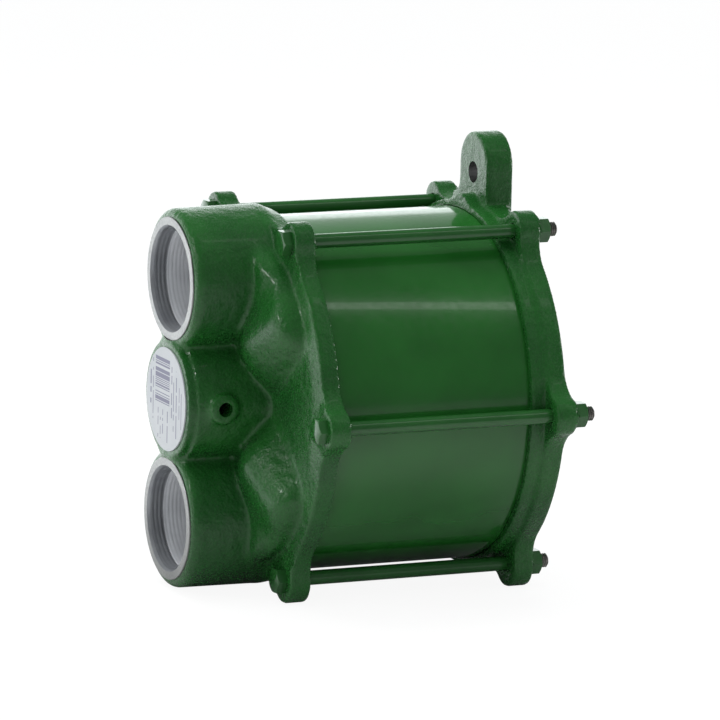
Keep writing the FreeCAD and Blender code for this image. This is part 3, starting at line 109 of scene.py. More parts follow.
class NodeSheet:
    """A node tree under construction, with short ways to add and join nodes."""

    def __init__(self, tree: bpy.types.NodeTree) -> None:
        """Starts on an existing tree.

        Args:
            tree: the tree that the nodes go into.
        """
        self.tree = tree

    def add(self, kind: str, **values: object) -> bpy.types.Node:
        """Adds a node and sets its properties and inputs.

        Args:
            kind: Blender's name of the node type.
            **values: properties by name, or inputs as in_Name with spaces as underscores.

        Returns:
            The new node.
        """
        node = self.tree.nodes.new(kind)
        for name, value in values.items():
            if name.startswith("in_"):
                self.feed(node.inputs[name[3:].replace("_", " ")], value)
            else:
                setattr(node, name, value)
        return node

    def feed(self, socket: bpy.types.NodeSocket, value: object) -> None:
        """Joins an output to a socket, or sets the socket's own value.

        Args:
            socket: the input to fill.
            value: an output socket, a colour or a number.
        """
        if isinstance(value, bpy.types.NodeSocket):
            self.tree.links.new(value, socket)
        elif isinstance(value, (tuple, list)) and len(socket.default_value) == 4:
            socket.default_value = tuple(value)[:3] + (1.0,)
        else:
            socket.default_value = value

    def sums(self, operation: str, *terms: object) -> bpy.types.NodeSocket:
        """A Math node's result.

        Args:
            operation: the kind of sum, such as ADD.
            *terms: its numbers or outputs, in order.

        Returns:
            The node's output socket.
        """
        node = self.add("ShaderNodeMath", operation=operation)
        for socket, term in zip(node.inputs, terms):
            self.feed(socket, term)
        return node.outputs[0]

    def blend(self, share: object, first: object, second: object) -> bpy.types.NodeSocket:
        """A colour between two colours.

        Args:
            share: 0 gives the first colour, 1 the second.
            first: a colour or an output.
            second: a colour or an output.

        Returns:
            The mixed colour's output socket.
        """
        node = self.tree.nodes.new("ShaderNodeMix")
        node.data_type = "RGBA"
        self.feed(node.inputs[0], share)
        self.feed(node.inputs[6], first)
        self.feed(node.inputs[7], second)
        return node.outputs[2]

    def steps(self, source: object, low: float, high: float, start: float = 0.0,
              end: float = 1.0) -> bpy.types.NodeSocket:
        """Maps a value softly from one range to another, held at both ends.

        Args:
            source: the value's output.
            low: the value that gives start.
            high: the value that gives end.
            start: the result at low.
            end: the result at high.

        Returns:
            The mapped value's output socket.
        """
        node = self.add("ShaderNodeMapRange", interpolation_type="SMOOTHSTEP", in_Value=source,
                        in_From_Min=low, in_From_Max=high, in_To_Min=start, in_To_Max=end)
        return node.outputs[0]

    def noise(self, place: object, scale: object, detail: float = 2.0,
              rough: float = 0.5) -> bpy.types.NodeSocket:
        """A cloudy noise between 0 and 1.

        Args:
            place: the coordinates' output.
            scale: cells to the metre, or the output that gives them.
            detail: how many finer layers are added.
            rough: how strong the finer layers are.

        Returns:
            The noise value's output socket.
        """
        node = self.add("ShaderNodeTexNoise", in_Vector=place, in_Scale=scale, in_Detail=detail,
                        in_Roughness=rough)
        return node.outputs[0]

    def place(self, kind: str = "Object") -> bpy.types.NodeSocket:
        """The coordinates of one kind, such as Object or Generated."""
        return self.add("ShaderNodeTexCoord").outputs[kind]

    def axes(self, kind: str = "Object") -> bpy.types.NodeOutputs:
        """The three values of the coordinates of one kind, by the names X, Y and Z."""
        return self.add("ShaderNodeSeparateXYZ", in_Vector=self.place(kind)).outputs


def skin_group() -> bpy.types.NodeTree:
    """The shared relief of an enamelled skin, made once: grain, lumps and slow clouds.

    Returns:
        The node group with Height, Grain and Cloud outputs.
    """
    known = bpy.data.node_groups.get("cast_skin")
    if known:
        return known
    tree = bpy.data.node_groups.new("cast_skin", "ShaderNodeTree")
    for side, labels in (("INPUT", ("Grain Scale", "Lump Scale", "Cloud Scale", "Grain Depth", "Lump Depth")),
                         ("OUTPUT", ("Height", "Grain", "Cloud"))):
        for label in labels:
            tree.interface.new_socket(label, in_out=side, socket_type="NodeSocketFloat")
    sheet = NodeSheet(tree)
    given = sheet.add("NodeGroupInput").outputs
    place = sheet.place()
    grain = sheet.noise(place, given["Grain Scale"], detail=3.0, rough=0.6)
    lumps = sheet.noise(place, given["Lump Scale"])
    fine = sheet.sums("MULTIPLY", grain, given["Grain Depth"])
    broad = sheet.sums("MULTIPLY", lumps, given["Lump Depth"])
    sheet.add("NodeGroupOutput", in_Height=sheet.sums("ADD", fine, broad), in_Grain=grain,
              in_Cloud=sheet.noise(place, given["Cloud Scale"], detail=3.0))
    return tree


def blank_material(name: str) -> tuple[bpy.types.Material, NodeSheet, bpy.types.Node]:
    """A new material with only a Principled BSDF and its output.

    Args:
        name: the material's name.

    Returns:
        The material, its node sheet and its Principled node.
    """
    material = bpy.data.materials.new(name)
    material.use_nodes = True
    material.node_tree.nodes.clear()
    sheet = NodeSheet(material.node_tree)
    surface = sheet.add("ShaderNodeBsdfPrincipled")
    sheet.add("ShaderNodeOutputMaterial", in_Surface=surface.outputs[0])
    return material, sheet, surface


@dataclass(frozen=True)
class Finish:
    """Two tones in slow clouds with gloss and relief from finer marks, as on rubber, carbon or paper."""

    name: str
    colour: Colour
    second: Colour
    roughness: float
    marks_scale: float = 700.0
    relief_mm: float = 0.05
    cloud_scale: float = 40.0
    tone_from: float = 0.3
    gloss_from: float = 0.3
    gloss_spread: tuple[float, float] = (0.85, 1.15)

    def sources(self, sheet: NodeSheet) -> tuple[bpy.types.NodeSocket, ...]:
        """Makes what the tones, the gloss and the relief follow.

        Args:
            sheet: the material's node sheet.

        Returns:
            The outputs of the clouds, the fine marks and the relief's height.
        """
        place = sheet.place()
        marks = sheet.noise(place, self.marks_scale)
        return sheet.noise(place, self.cloud_scale, detail=3.0), marks, marks

    def uniform(self) -> dict[str, float]:
        """The values that are the same all over, by the shader's socket."""
        return {}

    def material(self) -> bpy.types.Material:
        """Builds the finish.

        Returns:
            The material.
        """
        material, sheet, surface = blank_material(self.name)
        cloud, marks, height = self.sources(sheet)
        tone = sheet.steps(cloud, self.tone_from, SMOOTH_TO)
        sheet.feed(surface.inputs["Base Color"], sheet.blend(tone, self.colour, self.second))
        smooth, rough = (self.roughness * share for share in self.gloss_spread)
        sheet.feed(surface.inputs["Roughness"], sheet.steps(marks, self.gloss_from, SMOOTH_TO, smooth, rough))
        bump = sheet.add("ShaderNodeBump", in_Strength=1.0, in_Distance=self.relief_mm * MM, in_Height=height)
        sheet.feed(surface.inputs["Normal"], bump.outputs[0])
        for socket, value in self.uniform().items():
            surface.inputs[socket].default_value = value
        return material


@dataclass(frozen=True)
class Enamel(Finish):
    """Glossy green enamel, over a rough casting or over smooth sheet. Its marks are the casting's grain."""

    cloud_scale: float = 22.0
    gloss_from: float = 0.35
    gloss_spread: tuple[float, float] = (0.75, 1.3)
    lump_scale: float = 170.0
    grain_depth: float = 0.45
    lump_depth: float = 1.2
    coat: float = 0.4
    coat_rough: float = 0.05
    shine: float = 0.5

    def sources(self, sheet: NodeSheet) -> tuple[bpy.types.NodeSocket, ...]:
        """Sets the shared skin in with this enamel's values.

        Args:
            sheet: the material's node sheet.

        Returns:
            The outputs of its clouds, its grain and the relief's height.
        """
        skin = sheet.add("ShaderNodeGroup", node_tree=skin_group(), in_Grain_Scale=self.marks_scale,
                         in_Lump_Scale=self.lump_scale, in_Cloud_Scale=self.cloud_scale,
                         in_Grain_Depth=self.grain_depth, in_Lump_Depth=self.lump_depth)
        return tuple(skin.outputs[label] for label in ("Cloud", "Grain", "Height"))

    def uniform(self) -> dict[str, float]:
        """The shine under the enamel's clear coat and the coat's own values, by socket."""
        return {"Specular IOR Level": self.shine, "Coat Weight": self.coat,
                "Coat Roughness": self.coat_rough}


@dataclass(frozen=True)
class Metal(Finish):
    """Bare metal with fine turning or grinding marks."""

    marks_scale: float = 900.0
    relief_mm: float = 0.02
    cloud_scale: float = 60.0
    tone_from: float = 0.35
    gloss_spread: tuple[float, float] = (0.8, 1.25)
    metallic: float = 1.0

    def uniform(self) -> dict[str, float]:
        """How much of a metal the finish is, by socket."""
        return {"Metallic": self.metallic}


@dataclass(frozen=True)
class LabelFilm:
    """Pale label film with a block of plain bars and rows of plain dashes. Places in mm."""

    name: str
    film: Colour
    cloud: Colour
    ink: Colour
    roughness: float = 0.45
    shine: float = 0.2
    cloud_scale: float = 45.0
    bars: tuple[float, float, float, float] = (-15.5, 5.5, -3.5, 22.5)
    bars_to_metre: float = 1900.0
    bar_share: float = 0.46
    rows: tuple[tuple[float, float, float, float], ...] = (
        (-22.0, 1.6, -6.0, 14.0), (-18.6, 0.9, -14.0, 20.0), (8.6, 1.1, -9.0, 20.0),
        (11.4, 0.9, -16.0, 12.0), (-11.0, 0.9, -23.0, -6.5), (-7.6, 0.9, -23.0, -6.5),
        (-4.2, 0.9, -20.0, -6.5), (2.6, 1.1, -24.0, -6.5), (15.4, 1.1, -20.0, 18.0),
        (19.6, 0.8, -8.0, 10.0), (22.6, 0.9, -13.0, 7.0),
    )
    dashes_to_metre: float = 620.0
    dash_share: float = 0.3
    row_seed: float = 3.7

    def material(self) -> bpy.types.Material:
        """Builds the label film.

        Returns:
            The material.
        """
        material, sheet, surface = blank_material(self.name)
        axes = sheet.axes()
        marks = self.marks(sheet, axes, self.bars, self.bars_to_metre, 0.0, self.bar_share)
        for number, (x, width, low, high) in enumerate(self.rows, start=1):
            block, seed = (x - width / 2, x + width / 2, low, high), self.row_seed * number
            row = self.marks(sheet, axes, block, self.dashes_to_metre, seed, self.dash_share)
            marks = sheet.sums("MAXIMUM", marks, row)
        cloud = sheet.steps(sheet.noise(sheet.place(), self.cloud_scale, detail=3.0), SMOOTH_FROM, SMOOTH_TO)
        film = sheet.blend(cloud, self.film, self.cloud)
        sheet.feed(surface.inputs["Base Color"], sheet.blend(marks, film, self.ink))
        surface.inputs["Roughness"].default_value = self.roughness
        surface.inputs["Specular IOR Level"].default_value = self.shine
        return material

    def marks(self, sheet: NodeSheet, axes: bpy.types.NodeOutputs, block: tuple[float, float, float, float],
              scale: float, seed: float, share: float) -> bpy.types.NodeSocket:
        """Marks even steps up an upright block of the label, at random but the same each time.

        Args:
            sheet: the material's node sheet.
            axes: the place's three values.
            block: the block's left, right, lower and upper edge in mm.
            scale: steps to the metre.
            seed: a number that gives each block its own order.
            share: the share of the steps that stays empty.

        Returns:
            The output socket of the mask, 1 on the marks.
        """
        steps = sheet.sums("FLOOR", sheet.sums("MULTIPLY", axes["Z"], scale))
        random = sheet.add("ShaderNodeTexWhiteNoise", noise_dimensions="1D",
                           in_W=sheet.sums("ADD", steps, seed))
        mask = sheet.sums("LESS_THAN", random.outputs[0], 1.0 - share)
        for axis, low, high in (("X", *block[:2]), ("Z", *block[2:])):
            off = sheet.sums("ABSOLUTE", sheet.sums("SUBTRACT", axes[axis], (low + high) / 2 * MM))
            mask = sheet.sums("MULTIPLY", mask, sheet.sums("LESS_THAN", off, (high - low) / 2 * MM))
        return mask


FINISHES = {
    "green_paint": Enamel("green_casting_enamel", paint_colour(20, 70, 25), paint_colour(26, 82, 29),
                          0.27, relief_mm=0.8, coat=0.15, shine=0.42),
    "green_tube": Enamel("green_tube_enamel", paint_colour(22, 77, 24), paint_colour(27, 87, 29), 0.18,
                         300.0, 0.3, lump_scale=60.0, grain_depth=0.06, lump_depth=0.25),
    "bright_steel": Metal("bright_steel", (0.62, 0.61, 0.59), (0.50, 0.49, 0.47), 0.28),
    "bearing_steel": Metal("bearing_steel", (0.70, 0.70, 0.71), (0.62, 0.62, 0.64), 0.14),
    "cast_iron": Metal("machined_cast_iron", (0.36, 0.36, 0.355), (0.31, 0.31, 0.31), 0.4, 700.0, 0.03),
    "bronze": Metal("bearing_bronze", (0.55, 0.36, 0.15), (0.45, 0.28, 0.12), 0.3),
    "copper_washer": Metal("soft_copper", (0.62, 0.30, 0.17), (0.48, 0.22, 0.13), 0.34),
    "seal_rubber": Finish("seal_rubber", (0.018, 0.018, 0.018), (0.03, 0.03, 0.03), 0.55),
    "carbon": Finish("pressed_carbon", (0.03, 0.03, 0.032), (0.045, 0.045, 0.048), 0.4),
    "ceramic": Finish("fired_ceramic", (0.78, 0.74, 0.66), (0.7, 0.66, 0.6), 0.18, 900.0, 0.01),
    "gasket_paper": Finish("sealing_paper", (0.14, 0.11, 0.08), (0.1, 0.08, 0.06), 0.8),
    "label": LabelFilm("label_film", paint_colour(175, 177, 180), paint_colour(167, 170, 174),
                       paint_colour(108, 108, 126)),
}
BOLT_ENAMEL = Enamel("green_bolt_enamel", paint_colour(24, 70, 27), paint_colour(30, 80, 32), 0.2,
                     500.0, 0.12, lump_scale=260.0, grain_depth=0.2, lump_depth=0.4)
BARE_THREAD = Metal("worn_bolt_thread", (0.45, 0.42, 0.41), (0.26, 0.24, 0.23), 0.36)
# The port bore is one machined surface in two copies: the entry's darker grey is painted shade near the mouth,
# and the deeper bore's paler, less metallic grey is painted light.
PORT_ENTRY_PAINTED_SHADE = Metal("threaded_port_entry_painted_shade", (0.34, 0.35, 0.37), (0.27, 0.28, 0.30), 0.36, 500.0,
                   metallic=0.7)
PORT_BORE_PAINTED_LIGHT = Metal("threaded_port_bore_painted_light", (0.70, 0.71, 0.74), (0.62, 0.63, 0.66), 0.38, 500.0,
                  metallic=0.15)


def blended(first: Points, second: Points, width: float) -> Points:
    """Joins two distance fields with a hollow of the given width, as wax fills a corner.

    Args:
        first: distances to one form.
        second: distances to the other form.
        width: how far the blend reaches on each form, in mm.

    Returns:
        The joined distances.
    """
    share = np.maximum(width - np.abs(first - second), 0.0) / width
    return np.minimum(first, second) - share * share * width / 4


def softened_cut(form: Points, cut: Points, width: float) -> Points:
    """Takes one form out of another with a rounded rim.

    Args:
        form: distances to the form that stays.
        cut: distances to the form that is taken out.
        width: how far the rounding reaches, in mm.

    Returns:
        The remaining form's distances.
    """
    return -blended(-form, cut, width)


def rounded_slab(across: Points, along: Points, edge: float) -> Points:
    """A profile carried along a direction, with a rounded edge.

    Args:
        across: distances to the flat profile.
        along: distances beyond the slab's two ends.
        edge: the edge's radius in mm.

    Returns:
        Distances to the slab.
    """
    outside = np.hypot(np.maximum(across + edge, 0.0), np.maximum(along + edge, 0.0))
    return np.minimum(np.maximum(across, along) + edge, 0.0) + outside - edge


def six_places(radius: float) -> list[tuple[float, float]]:
    """The places across and up of six bolts or screws on a circle, from the one on +X."""
    turns = [math.radians(360 / LOBES * index) for index in range(LOBES)]
    return [(radius * math.cos(turn), radius * math.sin(turn)) for turn in turns]


class Form:
    """A form that is known by the distances to it."""

    def distance(self, points: Points) -> Points:
        """Measures how far the points are from the form.

        Args:
            points: places in mm.

        Returns:
            The distances in mm, below nothing inside.
        """
        raise NotImplementedError


@dataclass(frozen=True)
class Bar(Form):
    """A round bar along the pump axis, straight or tapered, with rounded ends. Sizes in mm."""

    x: float
    z: float
    front_r: float
    y0: float
    y1: float
    edge: float
    back_r: float = 0.0

    def distance(self, points: Points) -> Points:
        """Measures how far the points are from the bar.

        Args:
            points: places in mm.

        Returns:
            The distances in mm.
        """
        x, y, z = points.T
        length = self.y1 - self.y0
        widen = ((self.back_r or self.front_r) - self.front_r) / length
        radius = self.front_r + widen * np.clip(y - self.y0, 0.0, length)
        across = (np.hypot(x - self.x, z - self.z) - radius) / math.hypot(1.0, widen)
        return rounded_slab(across, np.abs(y - (self.y0 + self.y1) / 2) - length / 2, self.edge)


@dataclass(frozen=True)
class Finger(Form):
    """A round-ended tapered finger between two points. Sizes in mm."""

    start: Place
    end: Place
    start_r: float
    end_r: float

    def distance(self, points: Points) -> Points:
        """Measures how far the points are from the finger.

        Args:
            points: places in mm.

        Returns:
            The distances in mm.
        """
        start = np.array(self.start)
        span = np.array(self.end) - start
        share = np.clip((points - start) @ span / (span @ span), 0.0, 1.0)
        nearest_place = start + share[:, None] * span
        radius = self.start_r + share * (self.end_r - self.start_r)
        return np.linalg.norm(points - nearest_place, axis=1) - radius


def nearest(forms: Sequence[Form], points: Points) -> Points:
    """The distances from the points to the nearest of several forms."""
    return np.minimum.reduce([form.distance(points) for form in forms])


@dataclass(frozen=True)
class LobedPlate(Form):
    """The round flange with a lobe round each tie bolt. Sizes in mm.

    The two foot lobes are larger. A draft slopes the front face back from draft_r outwards, but not round the
    bolts and not on the lobes' tips.
    """

    y0: float
    y1: float
    valley_r: float = 103.0
    bolt_circle_r: float = BOLT_CIRCLE_R
    lobe_r: float = 11.0
    foot_lobe_r: float = 12.85
    foot_lobes: tuple[int, int] = (4, 5)
    hollow_r: float = 20.0
    edge: float = 1.6
    draft: float = 0.0
    draft_r: float = 91.0
    draft_wide: float = 12.0
    bolt_flat_r: float = 8.5
    bolt_fade: float = 6.0
    lobe_flat_r: float = 109.0

    def fall(self, x: Points, z: Points) -> Points:
        """How far the front face slopes back towards the rim, with a flat place round each bolt.

        Args:
            x: places across in mm.
            z: heights in mm.

        Returns:
            The fall in mm at each place.
        """
        bolts = six_places(self.bolt_circle_r)
        near = np.minimum.reduce([np.hypot(x - across, z - up) for across, up in bolts])
        radius = np.hypot(x, z)
        share = np.clip((near - self.bolt_flat_r) / self.bolt_fade, 0.0, 1.0)
        share = share * np.clip((self.lobe_flat_r - radius) / self.bolt_fade, 0.0, 1.0)
        return self.draft * share * np.clip(radius - self.draft_r, 0.0, self.draft_wide)

    def outline(self, x: Points, z: Points) -> Points:
        """Distances to the lobed outline, seen along the axis: round lobes with round hollows between.

        Args:
            x: places across in mm.
            z: heights in mm.

        Returns:
            The distances, below nothing inside.
        """
        flat = np.hypot(x, z) - self.valley_r
        for index, (across, up) in enumerate(six_places(1.0)):
            lobe_r = self.foot_lobe_r if index in self.foot_lobes else self.lobe_r
            out = x * across + z * up
            side = np.abs(z * across - x * up)
            flat = np.minimum(flat, np.hypot(out - self.bolt_circle_r, side) - lobe_r)
            beyond, reach = self.valley_r + self.hollow_r, lobe_r + self.hollow_r
            hollow_out = (self.bolt_circle_r ** 2 + beyond ** 2 - reach ** 2) / (2 * self.bolt_circle_r)
            hollow_side = math.sqrt(beyond ** 2 - hollow_out ** 2)
            before = hollow_side * out - hollow_out * side
            after = (out - self.bolt_circle_r) * hollow_side - side * (hollow_out - self.bolt_circle_r)
            within = (before > 0) & (after < 0) & (side < hollow_side)
            hollow = self.hollow_r - np.hypot(out - hollow_out, side - hollow_side)
            flat = np.where(within, np.minimum(flat, hollow), flat)
        return flat

    def distance(self, points: Points) -> Points:
        """Measures how far the points are from the plate.

        Args:
            points: places in mm.

        Returns:
            The distances in mm.
        """
        x, y, z = points.T
        front = self.y0 + self.fall(x, z)
        return rounded_slab(self.outline(x, z), np.maximum(front - y, y - self.y1), self.edge)


@dataclass
class Sculpt:
    """Turns a distance field into an even skin of four-sided faces. Sizes in mm."""

    low: Place
    high: Place
    step: float = 1.4

    def skin(self, distance: Callable[[Points], Points]) -> tuple[Points, Points]:
        """Finds the skin where the distance is nothing.

        Args:
            distance: gives the distance in mm from each of many points to the form.

        Returns:
            The skin's corners in mm and its faces as four corner numbers each.
        """
        counts = [int(math.ceil((b - a) / self.step)) + 1 for a, b in zip(self.low, self.high)]
        axes = [a + self.step * np.arange(n) for a, n in zip(self.low, counts)]
        grid = np.stack(np.meshgrid(*axes, indexing="ij"), axis=-1).reshape(-1, 3)
        depth = distance(grid).reshape(counts)
        inside = depth < 0
        cells = tuple(n - 1 for n in counts)
        total = np.zeros(cells + (3,))
        crossings = np.zeros(cells)
        for axis in range(3):
            others = [a for a in range(3) if a != axis]
            for first in (0, 1):
                for second in (0, 1):
                    start = [slice(0, n) for n in cells]
                    start[others[0]] = slice(first, cells[others[0]] + first)
                    start[others[1]] = slice(second, cells[others[1]] + second)
                    end = list(start)
                    end[axis] = slice(1, cells[axis] + 1)
                    d0, d1 = depth[tuple(start)], depth[tuple(end)]
                    crossed = (d0 < 0) != (d1 < 0)
                    share = np.where(crossed, d0 / np.where(crossed, d0 - d1, 1.0), 0.0)
                    total[..., axis] += share
                    total[..., others[0]] += crossed * first
                    total[..., others[1]] += crossed * second
                    crossings += crossed
        used = crossings > 0
        numbers = np.full(cells, -1)
        numbers[used] = np.arange(used.sum())
        places = np.argwhere(used) + total[used] / crossings[used][:, None]
        corners = np.array(self.low) + places * self.step
        faces = []
        for axis in range(3):
            first, second = (axis + 1) % 3, (axis + 2) % 3
            near = [slice(1, n) for n in cells]
            near[axis] = slice(0, cells[axis])
            far = list(near)
            far[axis] = slice(1, cells[axis] + 1)
            starts_in, ends_in = inside[tuple(near)], inside[tuple(far)]
            ring = []
            for a, b in ((-1, -1), (0, -1), (0, 0), (-1, 0)):
                part = [slice(0, cells[axis])] * 3
                part[first] = slice(1 + a, cells[first] + a)
                part[second] = slice(1 + b, cells[second] + b)
                ring.append(numbers[tuple(part)])
            for rising, order in ((starts_in & ~ends_in, (0, 1, 2, 3)), (~starts_in & ends_in, (3, 2, 1, 0))):
                faces.append(np.stack([ring[k][rising] for k in order], axis=-1))
        return self.settle(corners, distance), np.concatenate(faces)

    def settle(self, corners: Points, distance: Callable[[Points], Points]) -> Points:
        """Moves each corner onto the true form, by half a step at most.

        Args:
            corners: the corners in mm.
            distance: the form's distance field.

        Returns:
            The settled corners.
        """
        start = corners.copy()
        tiny = 0.05
        for _ in range(2):
            depth = distance(corners)
            ahead = [distance(corners + tiny * unit) for unit in np.eye(3)]
            slope = (np.stack(ahead, axis=-1) - depth[:, None]) / tiny
            steep = np.maximum((slope * slope).sum(axis=1), 0.25)
            corners = corners - slope * (depth / steep)[:, None]
        shift = corners - start
        length = np.linalg.norm(shift, axis=1)[:, None]
        return start + shift * np.minimum(1.0, 0.5 * self.step / np.maximum(length, 1e-9))


def crisp(mesh: bpy.types.Mesh, sharp_deg: float) -> None:
    """Shades a mesh smooth, apart from the edges that are sharper than the angle."""
    mesh.shade_smooth()
    mesh.set_sharp_from_angle(angle=math.radians(sharp_deg))


def new_piece(name: str, shape: Shape, materials: Sequence[bpy.types.Material],
              sharp_deg: float = CRISP_DEG) -> bpy.types.Object:
    """Makes a mesh piece from a shape in mm, with every face turned outwards.

    Args:
        name: the piece's name.
        shape: its corners in mm in the pump's frame, and its faces as corner numbers.
        materials: its materials in slot order.
        sharp_deg: edges sharper than this stay crisp.

    Returns:
        The new object.
    """
    corners, faces = shape
    mesh = bpy.data.meshes.new(name)
    mesh.from_pydata((np.asarray(corners, dtype=float) * MM).tolist(), [], [list(map(int, f)) for f in faces])
    for material in materials:
        mesh.materials.append(material)
    crisp(mesh, sharp_deg)
    work = bmesh.new()
    work.from_mesh(mesh)
    bmesh.ops.recalc_face_normals(work, faces=work.faces)
    work.to_mesh(mesh)
    work.free()
    piece = bpy.data.objects.new(name, mesh)
    bpy.context.scene.collection.objects.link(piece)
    return piece


class Hexagon(Enum):
    """The two kinds of hexagon: a solid head that is flat behind, and a bored nut with both ends bevelled."""

    HEAD = "head"
    NUT = "nut"


@dataclass(frozen=True)
class Lathe:
    """Makes shapes round a line along the pump axis, at x across and z up. Sizes in mm."""

    x: float = 0.0
    z: float = 0.0
    sides: int = 96

    def ringed(self, rows: Sequence[Sequence[tuple[float, float]]], closed: bool) -> Shape:
        """Joins rings of corners with faces.

        Args:
            rows: the rings, each a (y, radius) pair for every side, or a single pair on the line itself.
            closed: whether the last ring is joined to the first.

        Returns:
            Corners and faces.
        """
        corners, faces, rings = [], [], []
        for row in rows:
            rings.append(range(len(corners), len(corners) + len(row)))
            for k, (y, reach) in enumerate(row):
                turn = 2 * math.pi * k / self.sides
                corners.append((self.x + reach * math.cos(turn), y, self.z + reach * math.sin(turn)))
        for near, far in zip(rings, rings[1:] + (rings[:1] if closed else [])):
            for k in range(self.sides):
                after = (k + 1) % self.sides
                if len(near) == 1:
                    faces.append((near[0], far[k], far[after]))
                elif len(far) == 1:
                    faces.append((near[k], far[0], near[after]))
                else:
                    faces.append((near[k], far[k], far[after], near[after]))
        return corners, faces

    def turned(self, profile: Sequence[tuple[float, float]]) -> Shape:
        """A closed shape from (y, radius) pairs, closed on the line or back to its start."""
        closed = profile[0][1] > 0 and profile[-1][1] > 0
        return self.ringed([[pair] * (self.sides if pair[1] > 0 else 1) for pair in profile], closed)

    def rod(self, y0: float, y1: float, radius: float) -> Shape:
        """A plain rod, which also serves as the cutter of a drilled hole."""
        return self.turned([(y0, 0.0), (y0, radius), (y1, radius), (y1, 0.0)])

    def hexagon(self, kind: Hexagon, flats: float, y0: float, y1: float, bore_r: float = 0.0) -> Shape:
        """A hexagon with turned bevels, and its corners at 0, 60, 120 degrees and so on.

        Args:
            kind: whether it is a head or a nut.
            flats: the width across the flats.
            y0: the front end, in front of which a head is slightly domed.
            y1: the rear end.
            bore_r: a nut's bore.

        Returns:
            Corners and faces.
        """
        half, rim_r, fall = flats / 2, flats / 2 * HEX_FACE_SHARE, math.tan(math.radians(HEX_CHAMFER_DEG))
        turns = [2 * math.pi * k / self.sides for k in range(self.sides)]
        reaches = [half / math.cos(turn % (math.pi / 3) - math.pi / 6) for turn in turns]
        front = [(y0 + (reach - rim_r) * fall, reach) for reach in reaches]
        rear = [(y1 - (reach - rim_r) * fall if kind is Hexagon.NUT else y1, reach) for reach in reaches]
        rows = [[(y0, rim_r)] * self.sides, front, rear, [(y1, rim_r)] * self.sides]
        if kind is Hexagon.NUT:
            return self.ringed([[(y0, bore_r)] * self.sides, *rows, [(y1, bore_r)] * self.sides], True)
        corners, faces = self.ringed([[(y0 - HEX_DOME, 0.0)], *rows], False)
        faces.append(tuple(reversed(range(len(corners) - self.sides, len(corners)))))
        return corners, faces


def carve(piece: bpy.types.Object, cutters: Sequence[bpy.types.Object]) -> None:
    """Takes machined bores and grooves out of a piece and throws the cutters away.

    Args:
        piece: the piece that is cut.
        cutters: closed shapes whose own material goes onto the cut faces.
    """
    for number, cutter in enumerate(cutters):
        cut = piece.modifiers.new(f"cut_{number}", "BOOLEAN")
        cut.operation = "DIFFERENCE"
        cut.solver = "MANIFOLD"
        cut.object = cutter
        cut.material_mode = "TRANSFER"
    raw = piece.data
    mesh = bpy.data.meshes.new_from_object(piece.evaluated_get(bpy.context.evaluated_depsgraph_get()))
    piece.modifiers.clear()
    piece.data = mesh
    bpy.data.meshes.remove(raw)
    crisp(mesh, CRISP_DEG)
    for cutter in cutters:
        shape = cutter.data
        bpy.data.objects.remove(cutter)
        bpy.data.meshes.remove(shape)


@dataclass
class Casting(Form):
    """What the two covers share: how they are sculpted, drilled for the bolts and grooved for the tube's end.

    Sizes in mm. The last painted_cuts cutters leave enamel on what they cut, and the others bare metal. The
    grid's corners lie a few millimetres outside the casting.
    """

    name: str
    flange_front: float
    flange_back: float
    groove_end: float
    grid_low: Place
    grid_high: Place
    painted_cuts: int = 0
    bolt_circle_r: float = BOLT_CIRCLE_R
    bolt_hole_r: float = 4.5
    hole_sides: int = 32
    groove_r: tuple[float, float] = (93.85, 98.15)

    def machining(self) -> list[Shape]:
        """Everything that is cut out of the raw casting."""
        raise NotImplementedError

    def bolt_hole(self, lathe: Lathe) -> Shape:
        """The cutter of one tie bolt hole."""
        return lathe.rod(self.flange_front - CUT_CLEAR, self.flange_back + CUT_CLEAR, self.bolt_hole_r)

    def build(self, paint: bpy.types.Material, machined: bpy.types.Material) -> bpy.types.Object:
        """Sculpts the casting and machines it.

        Args:
            paint: the enamel of the raw skin.
            machined: the bare metal of the cut faces.

        Returns:
            The casting.
        """
        skin = Sculpt(self.grid_low, self.grid_high).skin(self.distance)
        piece = new_piece(self.name, skin, [paint, machined])
        cutters = [new_piece(f"cut_{k}", shape, [machined]) for k, shape in enumerate(self.machining())]
        for cutter in cutters[len(cutters) - self.painted_cuts:]:
            cutter.data.materials[0] = paint
        carve(piece, cutters)
        return piece


